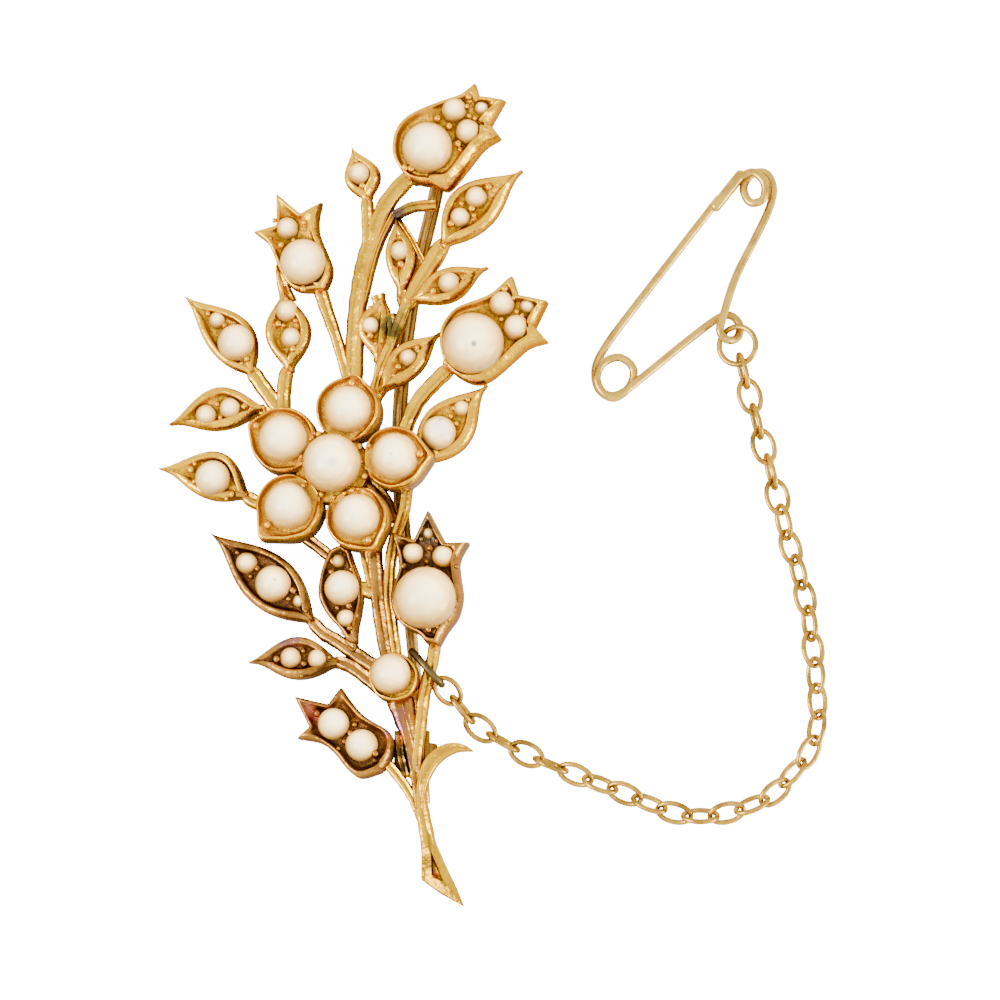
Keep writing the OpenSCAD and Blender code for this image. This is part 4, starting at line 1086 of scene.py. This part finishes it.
def plateAcross(name, places, thickness, bevel, middle):
    # An upright plate: places are across and up, its thickness runs along Y from 0
    rows = []
    for inset, y in ((bevel, 0), (0, bevel), (0, thickness - bevel), (bevel, thickness),
                     (1, thickness)):
        row = []
        for x, z in places:
            out = Vector((x - middle[0], 0, z - middle[1]))
            keep = out * max(1 - inset / max(out.length, 0.01), 0) if inset < 1 else out * 0.0
            row.append(Vector((middle[0], y, middle[1])) + keep)
        rows.append(row)
    return shapedGrid(name, [[Vector((middle[0], 0, middle[1]))] * len(places)] + rows)


earParts = []
radius = pinShape["knuckle"]
earOutline = [(radius * math.cos(math.radians(a)), radius * math.sin(math.radians(a)))
              for a in range(180, 361, 12)]
neck = pinShape["earTop"] - axisLevel
earOutline += [(radius, neck * k / 5) for k in range(1, 6)]
earOutline += [(-radius, neck * k / 5) for k in range(5, 0, -1)]
for start in (earFar - pinShape["sheet"], -earFar):
    ear = plateAcross("ear", earOutline, pinShape["sheet"], pinShape["bevel"], (0, neck * 0.4))
    ear.data.transform(onHinge @ Matrix.Translation((0, start, 0)))
    earParts.append(ear)
rivetRows = [(0.10, -earFar), (pinShape["rivet"], -earFar + 0.04), (pinShape["rivet"], earFar - 0.04),
             (0.10, earFar)]
rivet = shapedGrid("rivet", [[Vector((r * c, y, r * s)) for c, s in circle(20)] for r, y in rivetRows])
rivet.data.transform(onHinge)
earParts.append(rivet)

# The catch: an open hook on a soldered plate
catchPoint = pinPoint(Vector(catchAt))
onCatch = Matrix.Translation((catchPoint.x, catchPoint.y, hookLevel)) @ Matrix.Rotation(pinTurn, 4, "Z")
onCatch = onCatch @ Matrix.Translation((-pinShape["hookLength"] / 2, 0, 0))
rows = []
bevel, length = pinShape["bevel"], pinShape["hookLength"]
for i in range(pinShape["hookSteps"] + 1):
    turn = math.radians(pinShape["hookFrom"] + pinShape["hookTurn"] * i / pinShape["hookSteps"])
    out = Vector((0, math.cos(turn), math.sin(turn)))
    near, far = out * (hookInside + 0.01), out * (pinShape["hook"] - 0.01)
    inner, outer = near * 0.94 + far * 0.06, far * 0.94 + near * 0.06
    rows.append([point + Vector((x, 0, 0)) for point, x in (
        (near, bevel), (near, length - bevel), (inner, length), (outer, length), (far, length - bevel),
        (far, bevel), (outer, 0), (inner, 0))])
hook = shapedGrid("hook", rows)
hook.data.transform(onCatch)


def softBlock(name, low, high, bevel):
    # A block between two corners, with rounded edges
    low, high = Vector(low), Vector(high)
    block = newObject(name, bpy.ops.mesh.primitive_cube_add, size=1, location=(low + high) / 2)
    block.scale = high - low
    bpy.ops.object.transform_apply(location=True, rotation=False, scale=True)
    editMesh(block, (bpy.ops.mesh.bevel, {"offset": bevel, "segments": 2}))
    block.data.transform(onCatch)
    return block


stand = softBlock("stand", (0, -pinShape["sheet"], hookInside),
                  (length, pinShape["sheet"], pinShape["standTop"] - hookLevel), bevel)
(west, south, bottom), (east, north, top) = catchPlate["low"], catchPlate["high"]
plate = softBlock("plate", (west, south, bottom - hookLevel), (east, north, top - hookLevel),
                  catchPlate["bevel"])
wireMove = Vector(pinShape["backWireMove"])
wireLine = smoothLine([onSprig(p, 0) + wireMove for p in pinLine[:8]], 5)
backWire = roundWire("backWire", wireLine, [pinShape["backWire"] / 2] * len(wireLine), 12)
finishGold(joinPieces("backFittings", earParts + [hook, stand, plate, backWire]), "back")

# The pin itself, turning on the rivet
count = len(pinPoints)
taper = 2 * pinShape["steps"]
finest = pinShape["pointShare"]
radii = [pinShape["radius"] * (1 if i < count - taper else
                               finest + (1 - finest) * (count - 1 - i) / taper) for i in range(count)]
reach = pinShape["knuckle"] - pinShape["shaftInside"]
aim = Vector((math.cos(pinTurn), math.sin(pinTurn), 0))
shaftPoints = [pinPoints[0] + aim * reach]
shaftPoints += [p for p in pinPoints[1:] if (p - pinPoints[0]).length > reach + 0.1]
shaft = roundWire("shaft", shaftPoints, radii[count - len(shaftPoints):], 16)
inner, outer = pinShape["rivet"] + pinShape["gap"] + 0.01, pinShape["knuckle"] - 0.06
half = pinShape["knuckleLength"] / 2
knuckle = shapedGrid("knuckle", [[Vector((c, 0, s)) * r + Vector((0, y, 0)) for r, y in (
    (inner, -half), (outer - 0.06, -half), (outer, -half + 0.06), (outer, half - 0.06),
    (outer - 0.06, half), (inner, half))] for c, s in circle(32)], ringed=True)
knuckle.data.transform(onHinge)
pin = joinPieces("broochPin", [shaft, knuckle])
finishPiece(pin, sprigFrame, "pin", "brooch_pin", wireOf["pin"], 50)
print("back and pin made")


def makePearl(name, place, radius, floor):
    # A half pearl: flat below, a little uneven as real ones are
    pearl = newObject(name, bpy.ops.mesh.primitive_uv_sphere_add, segments=pearlShape["segments"],
                      ring_count=pearlShape["rings"], radius=radius)
    stretch = [pearlShape["stretch"] - chance.random() * pearlShape["varies"] for axis in range(3)]
    lobes = [(chance.uniform(0, fullTurn), chance.uniform(*pearlShape["waves"])) for turn in range(2)]
    for vertex in pearl.data.vertices:
        x, y, z = vertex.co
        turn = math.atan2(y, x)
        wave = 1 - sum(size * (1 + math.cos((k + 2) * turn + start))
                       for k, (start, size) in enumerate(lobes))
        vertex.co = (x * stretch[0] * wave, y * stretch[1] * wave, max(z, -pearlShape["cut"] * radius))
    pearl.data.transform(Matrix.Rotation(chance.uniform(0, fullTurn), 4, "Z"))
    middle = floor + pearlShape["cut"] * radius + pearlShape["lift"]
    pearl.data.transform(Matrix.Translation(onSprig(place, middle)))
    return pearl


for name, row in pearls.items():
    name = "pearl_" + name
    finishPiece(makePearl(name + "_nacre", *row), sprigFrame, "sprig", name,
                creamPearl if row[1] > paleAbove else smallPearl)
seedPearls = joinPieces("seedPearls", [makePearl("seed", *row) for row in seeds])
finishPiece(seedPearls, sprigFrame, "sprig", "seed_pearls", smallPearl)
print("pearls made")

# The chain, its first long link, the jump ring and the safety pin. Links are turned by the degrees
# of their stretch of the chain: up to which link, degrees
chainShape = {"count": 32, "length": 2.46, "width": 1.66, "wire": 0.34, "around": 26, "sides": 12,
              "rolls": [(6, 20), (20, 42), (26, 30), (32, 12)]}
stemLinkShape = {"length": 3.24, "width": 2.2, "wire": 0.46, "around": 30, "sides": 12,
                 "place": (26.7, 41.8), "level": 0.475, "turn": -49}
jumpRingShape = {"radius": 1.17, "wireRadius": 0.188, "place": (46.1, 21.6), "height": 0.82,
                 "tilt": -16.7, "roll": 2}
# Places as measured, and height above the surface
chainLine = [(28.0, 43.25, 2.5), (28.95, 44.45, 1.55), (30.2, 45.7, 1.0), (33.1, 47.3, 0.8),
    (36.0, 48.5, 0.8), (39.1, 49.7, 0.8), (42.2, 50.9, 0.8), (44.2, 51.05, 0.8), (46.0, 50.7, 0.8),
    (48.2, 49.75, 0.8), (49.6, 48.2, 0.8), (50.8, 46.5, 0.8), (51.05, 44.0, 0.8), (50.75, 40.4, 0.8),
    (50.2, 37.0, 0.8), (49.2, 33.6, 0.8), (48.3, 30.0, 0.8), (47.4, 26.8, 0.8), (46.45, 23.2, 0.8)]


def ovalLink(name, shape):
    across, up = (shape["length"] - shape["wire"]) / 2, (shape["width"] - shape["wire"]) / 2
    points = [Vector((across * c, up * s, 0)) for c, s in circle(shape["around"])]
    return roundWire(name, points, [shape["wire"] / 2] * len(points), shape["sides"], ringed=True)


def rotation(degrees, axis):
    return Matrix.Rotation(math.radians(degrees), 4, axis)


def placesAlong(line, count):
    # Places at equal lengths along a line
    sums = [0.0]
    for a, b in zip(line, line[1:]):
        sums.append(sums[-1] + (b - a).length)
    found = []
    for i in range(count):
        at = (sums[-1] - 0.001) * i / (count - 1)
        k = max(j for j in range(len(line) - 1) if sums[j] <= at)
        found.append(line[k] + (line[k + 1] - line[k]) * (at - sums[k]) / (sums[k + 1] - sums[k]))
    return found


chainPath = smoothLine([onTable(row, row[2]) for row in chainLine], 6)
linkPlaces = placesAlong(chainPath, chainShape["count"])
links = []
for i, (at, to) in enumerate(zip(linkPlaces, headings(linkPlaces))):
    roll = (i % 2) * 90 + next(degrees for last, degrees in chainShape["rolls"] if i < last)
    turned = Matrix.Rotation(math.atan2(to.y, to.x), 4, "Z")
    turned = turned @ Matrix.Rotation(-math.asin(to.z / to.length), 4, "Y")
    links.append(ovalLink("link", chainShape))
    links[-1].data.transform(Matrix.Translation(at) @ turned @ rotation(roll, "X"))
chain = joinPieces("chainLinks", links)
finishPiece(chain, tableFrame, "sprig", "chain", wireOf["chain"])

stemLink = ovalLink("stemLink", stemLinkShape)
stemLink.data.transform(Matrix.Translation(onSprig(stemLinkShape["place"], stemLinkShape["level"]))
                        @ rotation(stemLinkShape["turn"], "Z") @ rotation(90, "X"))
finishPiece(stemLink, sprigFrame, "sprig", "stem_link", wireOf["grey"])

jumpRing = newObject("jumpRing", bpy.ops.mesh.primitive_torus_add, major_radius=jumpRingShape["radius"],
                     minor_radius=jumpRingShape["wireRadius"], major_segments=64, minor_segments=16)
jumpRing.data.transform(Matrix.Translation(onTable(jumpRingShape["place"], jumpRingShape["height"]))
                        @ rotation(jumpRingShape["tilt"], "Y") @ rotation(jumpRingShape["roll"], "X"))
finishPiece(jumpRing, tableFrame, "sprig", "jump_ring", wireOf["chain"])

# The safety pin's wire: places as measured, height above the surface
safetyLine = [(45.0, 12.3, 0.5), (42.6, 15.4, 0.35), (39.9, 18.9, 0.3), (38.1, 21.3, 0.3),
    (37.25, 22.9, 0.3), (37.4, 24.3, 0.3), (38.4, 24.9, 0.35), (39.4, 24.1, 0.45), (39.55, 23.0, 0.6),
    (38.7, 22.35, 0.8), (37.65, 22.75, 0.98), (37.3, 23.7, 1.0), (37.75, 24.6, 1.0),
    (38.75, 24.65, 1.0), (40.4, 23.4, 0.8), (43.1, 21.2, 0.45), (44.95, 19.85, 0.3),
    (45.75, 19.75, 0.3), (46.25, 20.35, 0.33), (46.1, 21.1, 0.55), (45.5, 21.25, 0.95),
    (45.0, 20.7, 1.15), (45.25, 19.6, 1.15), (46.0, 17.3, 0.9), (47.2, 14.9, 0.6), (48.1, 13.0, 0.4),
    (48.35, 11.7, 0.3), (47.9, 10.75, 0.3), (47.0, 10.85, 0.35), (46.5, 11.7, 0.5), (46.9, 12.6, 0.7),
    (47.7, 12.4, 0.9), (47.8, 11.4, 1.0), (47.1, 10.7, 0.95), (46.3, 11.0, 0.8)]
safetyShape = {"radius": 0.265, "sheathRadius": 0.355, "sheathFrom": (46.3, 10.9, 0.75),
               "sheathTo": (44.75, 12.85, 0.6)}
# The sheath's rounded ends: length beyond the end, radius there
sheathEnd = [(0.32, 0.10), (0.25, 0.24), (0.1, 0.34)]
safetyPoints = smoothLine([onTable(row, row[2]) for row in safetyLine], 6)
safetyWire = roundWire("safetyWire", safetyPoints, [safetyShape["radius"]] * len(safetyPoints), 16)
sheathEnds = [onTable(safetyShape[end], safetyShape[end][2]) for end in ("sheathFrom", "sheathTo")]
along = (sheathEnds[1] - sheathEnds[0]).normalized()
full = safetyShape["sheathRadius"]
sheathRows = [(sheathEnds[0] - along * t, r) for t, r in sheathEnd]
sheathRows += [(sheathEnds[0] + along * t, full) for t in (0.0, 0.5, 1.0)] + [(sheathEnds[1], full)]
sheathRows += [(sheathEnds[1] + along * t, r) for t, r in sheathEnd[::-1]]
sheath = roundWire("sheath", [row[0] for row in sheathRows], [row[1] for row in sheathRows], 20)
safetyPin = joinPieces("safetyPin", [safetyWire, sheath])
finishPiece(safetyPin, tableFrame, "sprig", "safety_pin", wireOf["pale"])
print("chain and safety pin made")

# The floor looks white, but throws little light up on the metal
floorGlow = 15.0
floorMaterial, floorTree, floorShader = newMaterial("paleFloor")
seen = addNode(floorTree, "LightPath", {}).outputs["Is Camera Ray"]
setInputs(floorTree, floorShader, {
    "Base Color": mixColour(floorTree, seen, tone(168, 164, 158), tone(250, 250, 250)),
    "Emission Strength": mathNode(floorTree, "MULTIPLY", seen, floorGlow),
    "Emission Color": (1, 1, 1, 1), "Roughness": 0.7})
floor = newObject("floor", bpy.ops.mesh.primitive_plane_add, size=1.2)
floor.data.materials.append(floorMaterial)

# Lamps: place in metres, size, watts
lamps = {"key": ((0.31, 0.28, 0.35), 0.20, 17.0), "fill": ((-0.34, -0.10, 0.30), 0.22, 3.2),
         "side": ((0.46, -0.22, 0.10), 0.22, 3.0)}
for name, (place, size, power) in lamps.items():
    lamp = newObject(name, bpy.ops.object.light_add, type="AREA", location=place)
    lamp.data.shape = "SQUARE"
    lamp.data.size = size
    lamp.data.energy = power
    lamp.rotation_euler = (-Vector(place)).to_track_quat("-Z", "Y").to_euler()
    # The strongest lamp lights the pearls but isn't mirrored by the gold
    lamp.visible_glossy = name != "key"
    lamp.data.color = (1, 0.95, 0.82) if lamp.visible_glossy else (1, 1, 1)

# The room is uneven, so that the gold has light and shade to mirror
world = bpy.data.worlds.new("studio")
world.use_nodes = True
roomTree = world.node_tree
around = addNode(roomTree, "TexCoord", {}).outputs["Generated"]
setInputs(roomTree, roomTree.nodes["Background"], {
    "Color": tone(255, 246, 208),
    "Strength": mapRange(roomTree, noise(roomTree, around, 2.6, 2), 0.36, 0.62, 0.95, 3.2)})
bpy.context.scene.world = world

cameraShape = {"distance": 1.5, "lens": 874, "sensor": 36, "near": 0.01, "far": 10}
height = math.radians(view["height"])
target = Vector((view["shiftX"] * mm, (view["shiftY"] - 0.05) * mm, 0))
place = target + cameraShape["distance"] * Vector((0, -math.cos(height), math.sin(height)))
camera = newObject("Camera", bpy.ops.object.camera_add, location=place,
                   rotation=(math.pi / 2 - height, 0, 0))
camera.data.lens = cameraShape["lens"]
camera.data.sensor_width = cameraShape["sensor"]
camera.data.clip_start = cameraShape["near"]
camera.data.clip_end = cameraShape["far"]
bpy.context.scene.camera = camera
print("lights and camera set")
